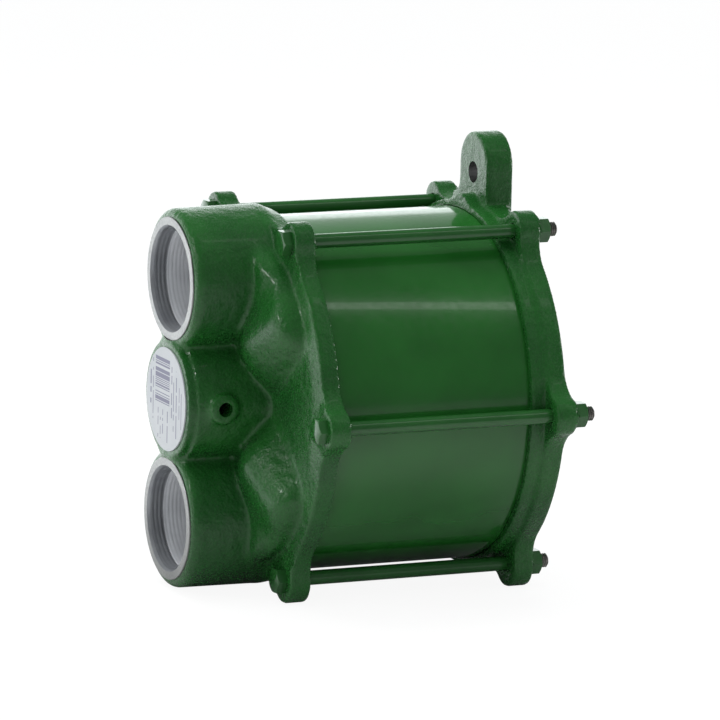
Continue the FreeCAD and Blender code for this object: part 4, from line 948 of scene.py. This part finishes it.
@dataclass
class FrontCasting(Casting):
    """The front cover: lobed flange, two ports, centre boss, shoulders and channel humps. Sizes in mm."""

    name: str = "front_casting"
    flange_front: float = -173.0
    flange_back: float = -161.0
    groove_end: float = -167.0
    grid_low: Place = (-122.0, -223.9, -109.0)
    grid_high: Place = (122.0, -157.5, 112.0)
    painted_cuts: int = 1
    hole_sides: int = 24
    draft: float = 0.13
    port_face: float = -219.0
    port_z: float = PORT_Z
    port_r: float = 38.2
    port_back_r: float = 38.9
    port_edge: float = 4.6
    port_rooted: float = 8.0
    ring_r: float = PORT_RING_R
    thread_end: float = PORT_THREAD_END
    passage_r: float = PORT_PASSAGE_R
    cap: Bar = Bar(0.0, 0.0, 32.4, -220.4, -173.0, 1.5)
    centre: Bar = Bar(0.0, 0.0, 34.0, -215.6, -167.0, 1.0, 35.0)
    rib: Bar = Bar(27.0, 0.0, 9.2, -210.0, -167.0, 4.0)
    priming: Finger = Finger((24.0, -201.4, 0.0), (50.6, -201.4, 0.0), 8.8, 7.8)
    priming_tip: float = 38.6
    priming_hole_r: float = 4.0
    priming_deep: float = 18.0
    priming_sides: int = 32
    skirt_front: float = -186.0
    skirt_front_r: float = 44.0
    skirt_back_r: float = 82.4
    skirt_edge: float = 1.2
    skirt_rooted: float = 4.0
    body_r: float = 93.0
    body_edge: float = 0.5
    body_short: float = 3.0
    hump_root: Place = (40.0, -173.5, 34.5)
    hump_tip: Place = (62.0, -170.5, 48.0)
    hump_r: tuple[float, float] = (17.5, 16.5)
    cut_front: float = -230.0
    back_wall: float = 8.0
    chamber_front: float = -207.0
    chamber_r: float = 24.0
    eye_r: float = 21.0
    channel_front: float = -180.0
    channel_half: float = 20.0

    def humps(self) -> list[Finger]:
        """The four channel humps, two each side of the ports, which open outwards like a V."""
        signs = [np.array((side, 1.0, lift)) for side in (1, -1) for lift in (1, -1)]
        return [Finger(tuple(sign * self.hump_root), tuple(sign * self.hump_tip), *self.hump_r)
                for sign in signs]

    def port_bars(self, radius: float, y0: float, y1: float, edge: float, back_r: float) -> list[Bar]:
        """The same bar round the upper and round the lower port."""
        return [Bar(0.0, z, radius, y0, y1, edge, back_r) for z in (self.port_z, -self.port_z)]

    def shoulders(self, points: Points) -> Points:
        """The sloping skirts round the two ports with their humps, held inside the flange's rim.

        Args:
            points: places in mm.

        Returns:
            Distances to the skirts and humps.
        """
        skirts = self.port_bars(self.skirt_front_r, self.skirt_front, self.flange_front + self.skirt_rooted,
                                self.skirt_edge, self.skirt_back_r)
        form = blended(nearest(skirts, points), nearest(self.humps(), points), width=14.0)
        rim = Bar(0.0, 0.0, self.body_r, self.cut_front, self.flange_back - self.body_short, self.body_edge)
        return softened_cut(form, -rim.distance(points), width=7.0)

    def ports(self, points: Points) -> Points:
        """The two port bosses, the centre boss with a rib on either side, and the priming boss.

        Args:
            points: places in mm.

        Returns:
            Distances to the bosses.
        """
        bosses = self.port_bars(self.port_r, self.port_face, self.flange_front + self.port_rooted,
                                self.port_edge, self.port_back_r)
        middle = blended(self.cap.distance(points), self.centre.distance(points), width=1.0)
        for rib in (self.rib, replace(self.rib, x=-self.rib.x)):
            middle = blended(middle, rib.distance(points), width=4.0)
        found = blended(nearest(bosses, points), middle, width=6.0)
        boss = softened_cut(self.priming.distance(points), self.priming_tip - points[:, 0], width=2.2)
        return blended(found, boss, width=2.0)

    def distance(self, points: Points) -> Points:
        """Distances to the raw casting, before any machining."""
        plate = LobedPlate(self.flange_front, self.flange_back, draft=self.draft).distance(points)
        return blended(blended(plate, self.shoulders(points), width=2.5), self.ports(points), width=3.2)

    def water_ways(self) -> list[Shape]:
        """Shapes the two port bores with their passages, the chamber and the channel to it.

        Returns:
            The cutters.
        """
        inner, beyond = self.flange_back - self.back_wall, self.flange_back + CUT_CLEAR
        shapes = []
        for z, passage_end in ((self.port_z, inner), (-self.port_z, beyond)):
            bore = [(self.cut_front, 0.0), (self.cut_front, self.ring_r), (self.thread_end, self.ring_r),
                    (self.thread_end, self.passage_r), (passage_end, self.passage_r), (passage_end, 0.0)]
            shapes.append(Lathe(z=z).turned(bore))
        chamber = [(self.chamber_front, 0.0), (self.chamber_front, self.chamber_r), (inner, self.chamber_r),
                   (inner, self.eye_r), (beyond, self.eye_r), (beyond, 0.0)]
        shapes.append(Lathe().turned(chamber))
        channel = [(x, y, z) for x in (-self.channel_half, self.channel_half)
                   for y in (self.channel_front, inner) for z in (0.0, self.port_z)]
        sides = [(0, 1, 3, 2), (4, 6, 7, 5), (0, 4, 5, 1), (2, 3, 7, 6), (0, 2, 6, 4), (1, 5, 7, 3)]
        return shapes + [(channel, sides)]

    def machining(self) -> list[Shape]:
        """Shapes everything that is cut out of the raw casting, with the priming hole last.

        Returns:
            The cutters.
        """
        holes = [self.bolt_hole(Lathe(x, z, self.hole_sides)) for x, z in six_places(self.bolt_circle_r)]
        inner, outer = self.groove_r
        beyond = self.flange_back + CUT_CLEAR
        groove = Lathe().turned([(beyond, inner), (self.groove_end, inner), (self.groove_end, outer),
                                 (beyond, outer)])
        lathe = Lathe(sides=self.priming_sides)
        corners, faces = lathe.rod(-self.priming_deep, CUT_CLEAR, self.priming_hole_r)
        sideways = [(self.priming_tip + y, self.priming.start[1] + x, z) for x, y, z in corners]
        return self.water_ways() + holes + [groove, (sideways, faces)]


@dataclass
class RearCasting(Casting):
    """The rear cover: lobed flange, lug, half-round pad, collar, gear case cup, boss and ribs. Sizes in mm.

    The flare is the lug foot's widening on its left and right side.
    """

    name: str = "rear_casting"
    flange_front: float = -40.0
    flange_back: float = -28.0
    groove_end: float = -34.0
    grid_low: Place = (-122.0, -100.5, -109.0)
    grid_high: Place = (122.0, -6.5, 143.5)
    cup_rim: float = -97.0
    cup_r: float = 84.0
    cup_rooted: float = 4.0
    ring_r: float = 71.0
    ring_end: float = -57.0
    floor_y: float = -46.0
    floor_r: float = 67.0
    race_r: float = 37.5
    race_end: float = -22.0
    seal_r: float = 35.0
    seal_bevel: float = 0.8
    boss_r: float = 45.0
    boss_end: float = -10.0
    boss_edge: float = 2.2
    collar_front: float = -48.0
    collar_r: tuple[float, float] = (98.4, 101.6)
    rooted: float = 2.0
    rim_edge: float = 1.0
    pad_r: float = 20.0
    pad_z: float = 85.5
    lug_half: float = 18.5
    lug_back: float = -24.0
    lug_top: float = 140.0
    lug_waist: float = 105.0
    lug_foot: tuple[float, float] = (91.0, 112.0)
    lug_edge: float = 1.6
    lug_hole: tuple[float, float] = (117.5, 6.0)
    flare: tuple[float, float] = (9.0, 0.0)
    pocket_r: float = 86.0
    pocket_deep: float = 6.0
    pocket_open: float = 12.0
    pocket_edge: float = 2.5
    rib_half: float = 4.0
    rib_rise: float = 5.0
    rib_drop: float = 0.4
    rib_over: float = 2.0
    rib_edge: float = 1.8
    plug_circle_r: float = 60.0
    plug_angles: tuple[float, ...] = (90.0, 270.0, 330.0)
    plug_r: float = 6.5
    plug_seat_r: float = 10.5
    plug_seat_edge: float = 0.4
    screw_circle_r: float = 77.5
    screw_r: float = 3.0
    screw_deep: float = 7.0

    def lug(self, points: Points) -> Points:
        """The upright lug with its round crown, flared at the foot.

        Args:
            points: places in mm.

        Returns:
            Distances to the lug.
        """
        x, y, z = points.T
        crown_z = self.lug_top - self.lug_half
        crown = np.hypot(x, z - crown_z) - self.lug_half
        shank = np.maximum(np.abs(x) - self.lug_half, np.abs(z - self.lug_waist) - (crown_z - self.lug_waist))
        flare = np.where(x < 0.0, *self.flare)
        beside = np.abs(x) - self.lug_half - flare
        foot_low, foot_top = self.lug_foot
        foot = np.maximum(beside, np.maximum(z - foot_top, foot_low - z))
        foot = np.maximum(foot, flare - np.hypot(beside, z - foot_top))
        flat = np.minimum(np.minimum(crown, shank), foot)
        along = np.maximum(self.flange_front - y, y - self.lug_back)
        return rounded_slab(flat, along, self.lug_edge)

    def ribs(self, points: Points) -> Points:
        """The six radial ribs on the rear face, which rise towards the boss.

        Args:
            points: places in mm.

        Returns:
            Distances to the ribs.
        """
        x, y, z = points.T
        sixth = 2 * math.pi / LOBES
        turn = np.round(np.arctan2(z, x) / sixth) * sixth
        out = x * np.cos(turn) + z * np.sin(turn)
        side = np.abs(z * np.cos(turn) - x * np.sin(turn))
        end_r = self.pocket_r + self.rib_over
        share = np.clip((end_r - out) / (self.pocket_r - self.boss_r), 0.0, 1.0)
        top = self.flange_back - self.rib_drop + self.rib_rise * share
        return rounded_slab(np.maximum(side - self.rib_half, out - end_r),
                            np.maximum(y - top, self.flange_front - y), self.rib_edge)

    def plugs(self) -> list[tuple[float, float]]:
        """The places across and up of the three oil plugs."""
        turns = [math.radians(angle) for angle in self.plug_angles]
        return [(self.plug_circle_r * math.cos(turn), self.plug_circle_r * math.sin(turn)) for turn in turns]

    def distance(self, points: Points) -> Points:
        """Measures how far the points are from the raw casting, before any machining.

        Args:
            points: places in mm.

        Returns:
            The distances in mm.
        """
        floor = self.flange_back - self.pocket_deep
        root, cup_root = self.flange_front + self.rooted, self.flange_front + self.cup_rooted
        pocket = Bar(0.0, 0.0, self.pocket_r, floor, self.flange_back + self.pocket_open, self.pocket_edge)
        boss = Bar(0.0, 0.0, self.boss_r, self.floor_y, self.boss_end, self.boss_edge)
        seats = [Bar(x, z, self.plug_seat_r, root, floor, self.plug_seat_edge) for x, z in self.plugs()]
        pad = Bar(0.0, self.pad_z, self.pad_r, self.collar_front, self.flange_back, self.rim_edge)
        collar = Bar(0.0, 0.0, self.collar_r[1], self.collar_front, root, self.rim_edge)
        cup = Bar(0.0, 0.0, self.cup_r, self.cup_rim, cup_root, self.rim_edge)
        plate = LobedPlate(self.flange_front, self.flange_back).distance(points)
        plate = softened_cut(plate, pocket.distance(points), width=1.5)
        plate = blended(plate, self.ribs(points), width=4.0)
        plate = blended(plate, boss.distance(points), width=5.0)
        found = blended(np.minimum(plate, nearest(seats, points)), self.lug(points), width=2.5)
        rim = blended(pad.distance(points), collar.distance(points), width=2.0)
        return blended(blended(found, rim, width=1.2), cup.distance(points), width=3.0)

    def machining(self) -> list[Shape]:
        """Shapes everything that is cut out of the raw casting.

        Returns:
            The cutters.
        """
        before, beyond = self.cup_rim - CUT_CLEAR, self.boss_end + CUT_CLEAR
        seal_mouth_r = self.seal_r + self.seal_bevel
        bore = [(before, 0.0), (before, self.ring_r), (self.ring_end, self.ring_r),
                (self.ring_end, self.floor_r), (self.floor_y, self.floor_r), (self.floor_y, self.race_r),
                (self.race_end, self.race_r), (self.race_end, self.seal_r),
                (self.boss_end - self.seal_bevel, self.seal_r), (self.boss_end, seal_mouth_r),
                (beyond, seal_mouth_r), (beyond, 0.0)]
        inner, outer = self.groove_r
        mouth, collar_r = self.collar_front - CUT_CLEAR, self.collar_r[0]
        groove = [(mouth, inner), (self.groove_end, inner), (self.groove_end, outer),
                  (self.flange_front, outer), (self.flange_front, collar_r), (mouth, collar_r)]
        hole_z, hole_r = self.lug_hole
        lug_front, lug_back = self.flange_front - CUT_CLEAR, self.lug_back + CUT_CLEAR
        sides = self.hole_sides
        lug_hole = Lathe(0.0, hole_z, sides).rod(lug_front, lug_back, hole_r)
        shapes = [Lathe().turned(bore), Lathe().turned(groove), lug_hole]
        for bolt, screw in zip(six_places(self.bolt_circle_r), six_places(self.screw_circle_r)):
            shapes.append(self.bolt_hole(Lathe(*bolt, sides)))
            shapes.append(Lathe(*screw, sides).rod(before, self.cup_rim + self.screw_deep, self.screw_r))
        return shapes + [Lathe(x, z, sides).rod(self.floor_y - 0.5, self.flange_back + CUT_CLEAR, self.plug_r)
                         for x, z in self.plugs()]


@dataclass
class PortLining:
    """The machined face, entry and thread of one port. Sizes in mm."""

    z: float
    ring_face: float = -219.8
    ring_r: float = PORT_RING_R
    ring_bevel: float = 0.3
    entry_r: float = 29.4
    entry_fall: float = 1.0
    entry_deep: float = 9.4
    entry_over: float = 0.4
    end_over: float = 0.6
    end_wall: float = 0.01
    thread_r: float = 28.33
    thread_front: float = 1.6
    thread_deep: float = 0.09
    thread_end: float = PORT_THREAD_END
    pitch: float = 2.309
    rings_to_pitch: int = 6
    passage_r: float = PORT_PASSAGE_R
    sides: int = 96
    face_strips: int = 3
    sharp_deg: float = 25.0

    def thread_ring(self, y: float) -> list[tuple[float, float]]:
        """One ring of the thread, a (y, radius) pair for each side, whose crest winds with the pitch."""
        waves = [math.cos(2 * math.pi * (y / self.pitch - side / self.sides)) for side in range(self.sides)]
        return [(y, self.thread_r + self.thread_deep * (0.5 + 0.5 * wave)) for wave in waves]

    def build(self, name: str, materials: Sequence[bpy.types.Material]) -> bpy.types.Object:
        """Builds the lining.

        Args:
            name: the piece's name.
            materials: the bare metal of the ring face, the bore's metal near the mouth darkened as painted
                shade, and the deeper bore's metal paled as painted light.

        Returns:
            The lining.
        """
        front, end = self.ring_face, self.thread_end
        entry = [(end, self.ring_r), (front + self.ring_bevel, self.ring_r),
                 (front, self.ring_r - self.ring_bevel), (front, self.entry_r),
                 (front + self.entry_fall, self.thread_r + self.entry_over)]
        run_out = [(end, self.thread_r + self.end_over), (end + self.end_wall, self.passage_r)]
        start, step = front + self.thread_front, self.pitch / self.rings_to_pitch
        rows = [[pair] * self.sides for pair in entry]
        rows += [self.thread_ring(start + k * step) for k in range(int((end - start) / step) + 1)]
        rows += [[pair] * self.sides for pair in run_out]
        shape = Lathe(0.0, self.z, self.sides).ringed(rows, True)
        lining = new_piece(name, shape, materials, self.sharp_deg)
        # Faces deeper than the entry take the paler metal, painted light; those nearer the mouth take the
        # darker metal, painted shade.
        for face in lining.data.polygons:
            deep = face.center.y > (front + self.entry_deep) * MM
            face.material_index = 0 if face.index < self.face_strips * self.sides else 1 + deep
        return lining


def joined(shapes: Sequence[Shape]) -> Shape:
    """Puts several shapes into one.

    Args:
        shapes: their corners and faces.

    Returns:
        All corners and faces.
    """
    corners, faces = [], []
    for shape_corners, shape_faces in shapes:
        start = len(corners)
        corners += shape_corners
        faces += [tuple(start + k for k in face) for face in shape_faces]
    return corners, faces


@dataclass
class TieBolts:
    """The six long bolts with their washers and nuts. Sizes in mm."""

    circle_r: float = BOLT_CIRCLE_R
    flats: float = 13.0
    head_front: float = -178.3
    seat_front: float = -173.0
    seat_rear: float = -28.0
    rod_r: float = 4.0
    washer_r: float = 8.5
    washer_bore_r: float = 4.5
    washer_thick: float = 1.8
    washer_bevel: float = 0.4
    nut_high: float = 6.5
    end_y: float = -14.5
    thread_from: float = -38.0
    pitch: float = 1.25
    crest_r: float = 3.98
    root_r: float = 3.45
    thread_shares: tuple[float, float, float] = (0.4, 0.55, 0.9)
    run_in: float = 0.3
    plain_end: float = 1.0
    tip_long: float = 0.8
    tip_in: tuple[float, float] = (0.3, 1.0)
    thread_sides: int = 24
    rod_sides: int = 32
    ring_sides: int = 48
    sharp_deg: float = 28.0

    def thread(self, x: float, z: float) -> Shape:
        """One threaded end with its bevelled tip.

        Args:
            x: the bolt's place across.
            z: the bolt's height.

        Returns:
            Corners and faces.
        """
        fall, rise, crest = (share * self.pitch for share in self.thread_shares)
        profile = [(self.thread_from, 0.0), (self.thread_from, self.crest_r)]
        for k in range(int((self.end_y - self.plain_end - self.thread_from) / self.pitch)):
            start = self.thread_from + self.run_in + k * self.pitch
            profile += [(start, self.crest_r), (start + fall, self.root_r), (start + rise, self.root_r),
                        (start + crest, self.crest_r)]
        shoulder, end = self.tip_in
        profile += [(self.end_y - self.tip_long, self.rod_r - shoulder), (self.end_y, self.rod_r - end),
                    (self.end_y, 0.0)]
        return Lathe(x, z, self.thread_sides).turned(profile)

    def build(self, paint: bpy.types.Material,
              bare: bpy.types.Material) -> list[tuple[bpy.types.Object, str]]:
        """Builds the fasteners.

        Args:
            paint: the paint on heads, shanks, washers and nuts.
            bare: the bare metal of the threaded ends.

        Returns:
            Each piece with the node that it stands for.
        """
        heads, ends, washers, nuts = [], [], [], []
        nut_front = self.seat_rear + self.washer_thick
        nut_rear = nut_front + self.nut_high
        ring = [(self.seat_rear, self.washer_bore_r), (self.seat_rear, self.washer_r),
                (nut_front - self.washer_bevel, self.washer_r),
                (nut_front, self.washer_r - self.washer_bevel), (nut_front, self.washer_bore_r)]
        for x, z in six_places(self.circle_r):
            lathe = Lathe(x, z, self.ring_sides)
            heads.append(lathe.hexagon(Hexagon.HEAD, self.flats, self.head_front, self.seat_front))
            rod = Lathe(x, z, self.rod_sides).rod(self.seat_front - 1.0, self.thread_from, self.rod_r)
            heads.append(rod)
            ends.append(self.thread(x, z))
            washers.append(lathe.turned(ring))
            nuts.append(lathe.hexagon(Hexagon.NUT, self.flats, nut_front, nut_rear, self.rod_r))
        return [(new_piece(name, joined(shapes), [finish], self.sharp_deg), node)
                for name, shapes, finish, node in (("bolt_heads_and_shanks", heads, paint, "tie_bolts"),
                                                   ("bolt_thread_ends", ends, bare, "tie_bolts"),
                                                   ("bolt_washers", washers, paint, "tie_bolt_washers"),
                                                   ("bolt_nuts", nuts, paint, "tie_bolt_nuts"))]


@dataclass
class PhotoCamera:
    """The camera at the photograph's viewing angle, as it was fitted to the flanges and bolts."""

    azimuth_deg: float = 66.43
    elevation_deg: float = 10.70
    roll_deg: float = -1.16
    distance: float = 3.4047
    right_offset: float = 0.10401
    up_offset: float = 0.02122
    port_face_y: float = -0.219
    lens_mm: float = 311.81
    sensor_mm: float = 36.0
    far_clip: float = 20.0

    def build(self) -> None:
        """Makes the camera and sets it as the scene's camera."""
        azimuth, elevation, roll = map(math.radians, (self.azimuth_deg, self.elevation_deg, self.roll_deg))
        back = Vector((math.sin(azimuth) * math.cos(elevation), -math.cos(azimuth) * math.cos(elevation),
                       math.sin(elevation)))
        right = Vector((math.cos(azimuth), math.sin(azimuth), 0.0))
        up = back.cross(right)
        across = math.cos(roll) * right - math.sin(roll) * up
        above = math.sin(roll) * right + math.cos(roll) * up
        place = back * self.distance + across * self.right_offset + above * self.up_offset
        place.y += self.port_face_y
        data = bpy.data.cameras.new("photo_camera")
        data.lens = self.lens_mm
        data.sensor_width = self.sensor_mm
        data.clip_end = self.far_clip
        camera = bpy.data.objects.new("photo_camera", data)
        camera.matrix_world = Matrix.Translation(place) @ Matrix((across, above, back)).transposed().to_4x4()
        bpy.context.scene.collection.objects.link(camera)
        bpy.context.scene.camera = camera


@dataclass(frozen=True)
class Softbox:
    """One rectangular studio lamp. Sizes in metres."""

    name: str
    place: Place
    aim: Place
    width: float
    height: float
    power: float
    mirrored: bool = True

    def build(self) -> None:
        """Makes the lamp."""
        data = bpy.data.lights.new(self.name, "AREA")
        data.shape = "RECTANGLE"
        data.size = self.width
        data.size_y = self.height
        data.energy = self.power
        lamp = bpy.data.objects.new(self.name, data)
        lamp.location = self.place
        lamp.rotation_euler = (Vector(self.aim) - Vector(self.place)).to_track_quat("-Z", "Y").to_euler()
        lamp.visible_glossy = self.mirrored
        bpy.context.scene.collection.objects.link(lamp)


@dataclass
class Studio:
    """Pale floor, soft lamps, a bright wall on the port side and behind, and the camera. Sizes in metres.

    The wall is seen in reflections only. Its window_steps are the heights where its light falls off and the
    light that is left beyond them, for its lower and its upper part.
    """

    floor_z: float = -0.1059
    floor_reach: float = 6.0
    floor_seen: float = 0.93
    floor_lit: float = 0.9
    floor_dim: float = 0.8
    floor_dark: float = 0.45
    floor_rough: float = 0.6
    floor_glow: float = 1.02
    glow_share: float = 0.9
    white: Colour = (1.0, 1.0, 1.0)
    wall_light: float = 1.9
    wall_side: tuple[float, float] = (-1.0, -0.15)
    wall_edge: tuple[float, float] = (0.2, 0.8)
    floor_edge: tuple[float, float] = (0.05, 0.45)
    wall_tint: Colour = (0.94, 0.985, 1.0)
    wall_lean: float = -0.22
    window_steps: tuple[tuple[float, float, float], ...] = ((0.24, 0.3, 0.27), (0.54, 0.62, 0.04))
    room_light: float = 0.14
    fill_light: float = 0.75
    lamps: tuple[Softbox, ...] = (
        Softbox("overhead_softbox", (-0.4, -0.2, 1.3), (0.0, -0.1, 0.0), 1.2, 1.0, 20.0, False),
        Softbox("port_side_softbox", (-1.0, -1.3, 0.4), (0.0, -0.1, 0.0), 1.2, 1.0, 8.0, False),
        Softbox("far_strip_lamp", (0.75, 0.55, 1.4), (0.0, -0.1, 0.0), 0.08, 1.6, 0.9),
        Softbox("behind_strip_lamp", (0.2, 1.4, 0.1), (0.0, -0.1, 0.0), 0.12, 0.5, 6.0),
        Softbox("front_spark_lamp", (0.0, -1.5, 0.8), (0.0, -0.15, 0.0), 0.14, 0.14, 3.2),
        Softbox("front_strip_lamp", (0.1, -1.6, 0.1), (0.0, -0.15, 0.0), 0.08, 0.4, 0.45),
    )

    def towards_wall(self, sheet: NodeSheet, axes: bpy.types.NodeOutputs) -> bpy.types.NodeSocket:
        """How far a place or direction lies towards the bright wall.

        Args:
            sheet: the node sheet.
            axes: the place's or direction's three values.

        Returns:
            The measure's output socket.
        """
        across, along = self.wall_side
        return sheet.sums("MULTIPLY_ADD", axes["X"], across, sheet.sums("MULTIPLY", axes["Y"], along))

    def build_world(self) -> None:
        """Makes the world: white to the camera, and in reflections a bright wall and a dim room."""
        world = bpy.data.worlds.new("studio_world")
        bpy.context.scene.world = world
        world.use_nodes = True
        world.node_tree.nodes.clear()
        sheet = NodeSheet(world.node_tree)
        axes = sheet.axes("Generated")
        wall = sheet.steps(self.towards_wall(sheet, axes), *self.wall_edge)
        height = sheet.sums("MULTIPLY_ADD", axes["Y"], self.wall_lean, axes["Z"])
        window = sheet.sums("MINIMUM", *(sheet.steps(height, low, high, 1.0, rest)
                                         for low, high, rest in self.window_steps))
        mirrored = sheet.sums("MULTIPLY_ADD", sheet.sums("MULTIPLY", wall, window), self.wall_light,
                              self.room_light)
        ray = sheet.add("ShaderNodeLightPath").outputs
        extra = sheet.sums("SUBTRACT", mirrored, self.fill_light)
        glossy = sheet.sums("MULTIPLY_ADD", ray["Is Glossy Ray"], extra, self.fill_light)
        to_white = sheet.sums("SUBTRACT", 1.0, glossy)
        light = sheet.add("ShaderNodeBackground",
                          in_Color=sheet.blend(ray["Is Camera Ray"], self.wall_tint, self.white),
                          in_Strength=sheet.sums("MULTIPLY_ADD", ray["Is Camera Ray"], to_white, glossy))
        sheet.add("ShaderNodeOutputWorld", in_Surface=light.outputs[0])

    def floor_material(self) -> bpy.types.Material:
        """Makes the floor's material: white to the camera, and in reflections bright on the wall's side.

        Returns:
            The material.
        """
        material, sheet, surface = blank_material("white_floor")
        ray = sheet.add("ShaderNodeLightPath").outputs
        seen, glossy = ray["Is Camera Ray"], ray["Is Glossy Ray"]
        side = sheet.steps(self.towards_wall(sheet, sheet.axes()), *self.floor_edge)
        dark = sheet.blend(glossy, (self.floor_dim,) * 3, (self.floor_dark,) * 3)
        tone = sheet.blend(side, dark, (self.floor_lit,) * 3)
        sheet.feed(surface.inputs["Base Color"], sheet.blend(seen, tone, (self.floor_seen,) * 3))
        surface.inputs["Roughness"].default_value = self.floor_rough
        mirrored = sheet.sums("MULTIPLY", glossy, side)
        glow = sheet.add("ShaderNodeEmission", in_Color=sheet.blend(seen, self.wall_tint, self.white),
                         in_Strength=sheet.sums("MULTIPLY_ADD", mirrored, self.wall_light - self.floor_glow,
                                                self.floor_glow))
        mix = sheet.add("ShaderNodeMixShader")
        for socket, value in zip(mix.inputs, (sheet.sums("MULTIPLY_ADD", seen, self.glow_share, mirrored),
                                              surface.outputs[0], glow.outputs[0])):
            sheet.feed(socket, value)
        end = next(node for node in sheet.tree.nodes if node.bl_idname == "ShaderNodeOutputMaterial")
        sheet.feed(end.inputs["Surface"], mix.outputs[0])
        return material

    def build_floor(self) -> None:
        """Makes the floor and stages it."""
        mesh = bpy.data.meshes.new("floor")
        turns = ((-1, -1), (1, -1), (1, 1), (-1, 1))
        mesh.from_pydata([(x * self.floor_reach, y * self.floor_reach, self.floor_z) for x, y in turns], [],
                         [(0, 1, 2, 3)])
        mesh.materials.append(self.floor_material())
        floor = bpy.data.objects.new("floor", mesh)
        bpy.context.scene.collection.objects.link(floor)

    def build(self) -> None:
        """Builds the whole studio and sets the plain view transform."""
        self.build_world()
        self.build_floor()
        for lamp in self.lamps:
            lamp.build()
        PhotoCamera().build()
        bpy.context.scene.view_settings.view_transform = "Standard"
        LOG.info("studio with %d lamps", len(self.lamps))


@dataclass
class CadDress:
    """Gives every CAD node the finish of its material slot."""

    frame: dict
    finishes: dict[str, bpy.types.Material]

    def build(self) -> None:
        """Assigns the materials."""
        for part in self.frame["record"]["subparts"]:
            node = self.frame["nodes"][part["node"]]
            node.data.materials.clear()
            node.data.materials.append(self.finishes[part["material_slot"]])


def main() -> None:
    """Builds the pump's looks and the studio in order."""
    logging.basicConfig(level=logging.INFO, format="%(name)s: %(message)s")
    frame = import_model()
    finishes = {slot: finish.material() for slot, finish in FINISHES.items()}
    CadDress(frame, finishes).build()
    paint, iron = finishes["green_paint"], finishes["cast_iron"]
    port_metals = [iron, PORT_ENTRY_PAINTED_SHADE.material(), PORT_BORE_PAINTED_LIGHT.material()]
    pieces = [(FrontCasting().build(paint, iron), "front_cover", "green_paint")]
    fasteners = TieBolts().build(BOLT_ENAMEL.material(), BARE_THREAD.material())
    pieces += [(piece, node, "green_paint") for piece, node in fasteners]
    pieces.append((RearCasting().build(paint, iron), "rear_cover", "green_paint"))
    for name, z in (("upper_port_lining", PORT_Z), ("lower_port_lining", -PORT_Z)):
        pieces.append((PortLining(z).build(name, port_metals), "front_cover", "cast_iron"))
    for piece, node, slot in pieces:
        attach(piece, "casing")
        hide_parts(node)
        LOG.info("%s stands for %s with %d faces", piece.name, node, len(piece.data.polygons))
    Studio().build()
    LOG.info("boxes written")


if __name__ == "__main__":
    main()
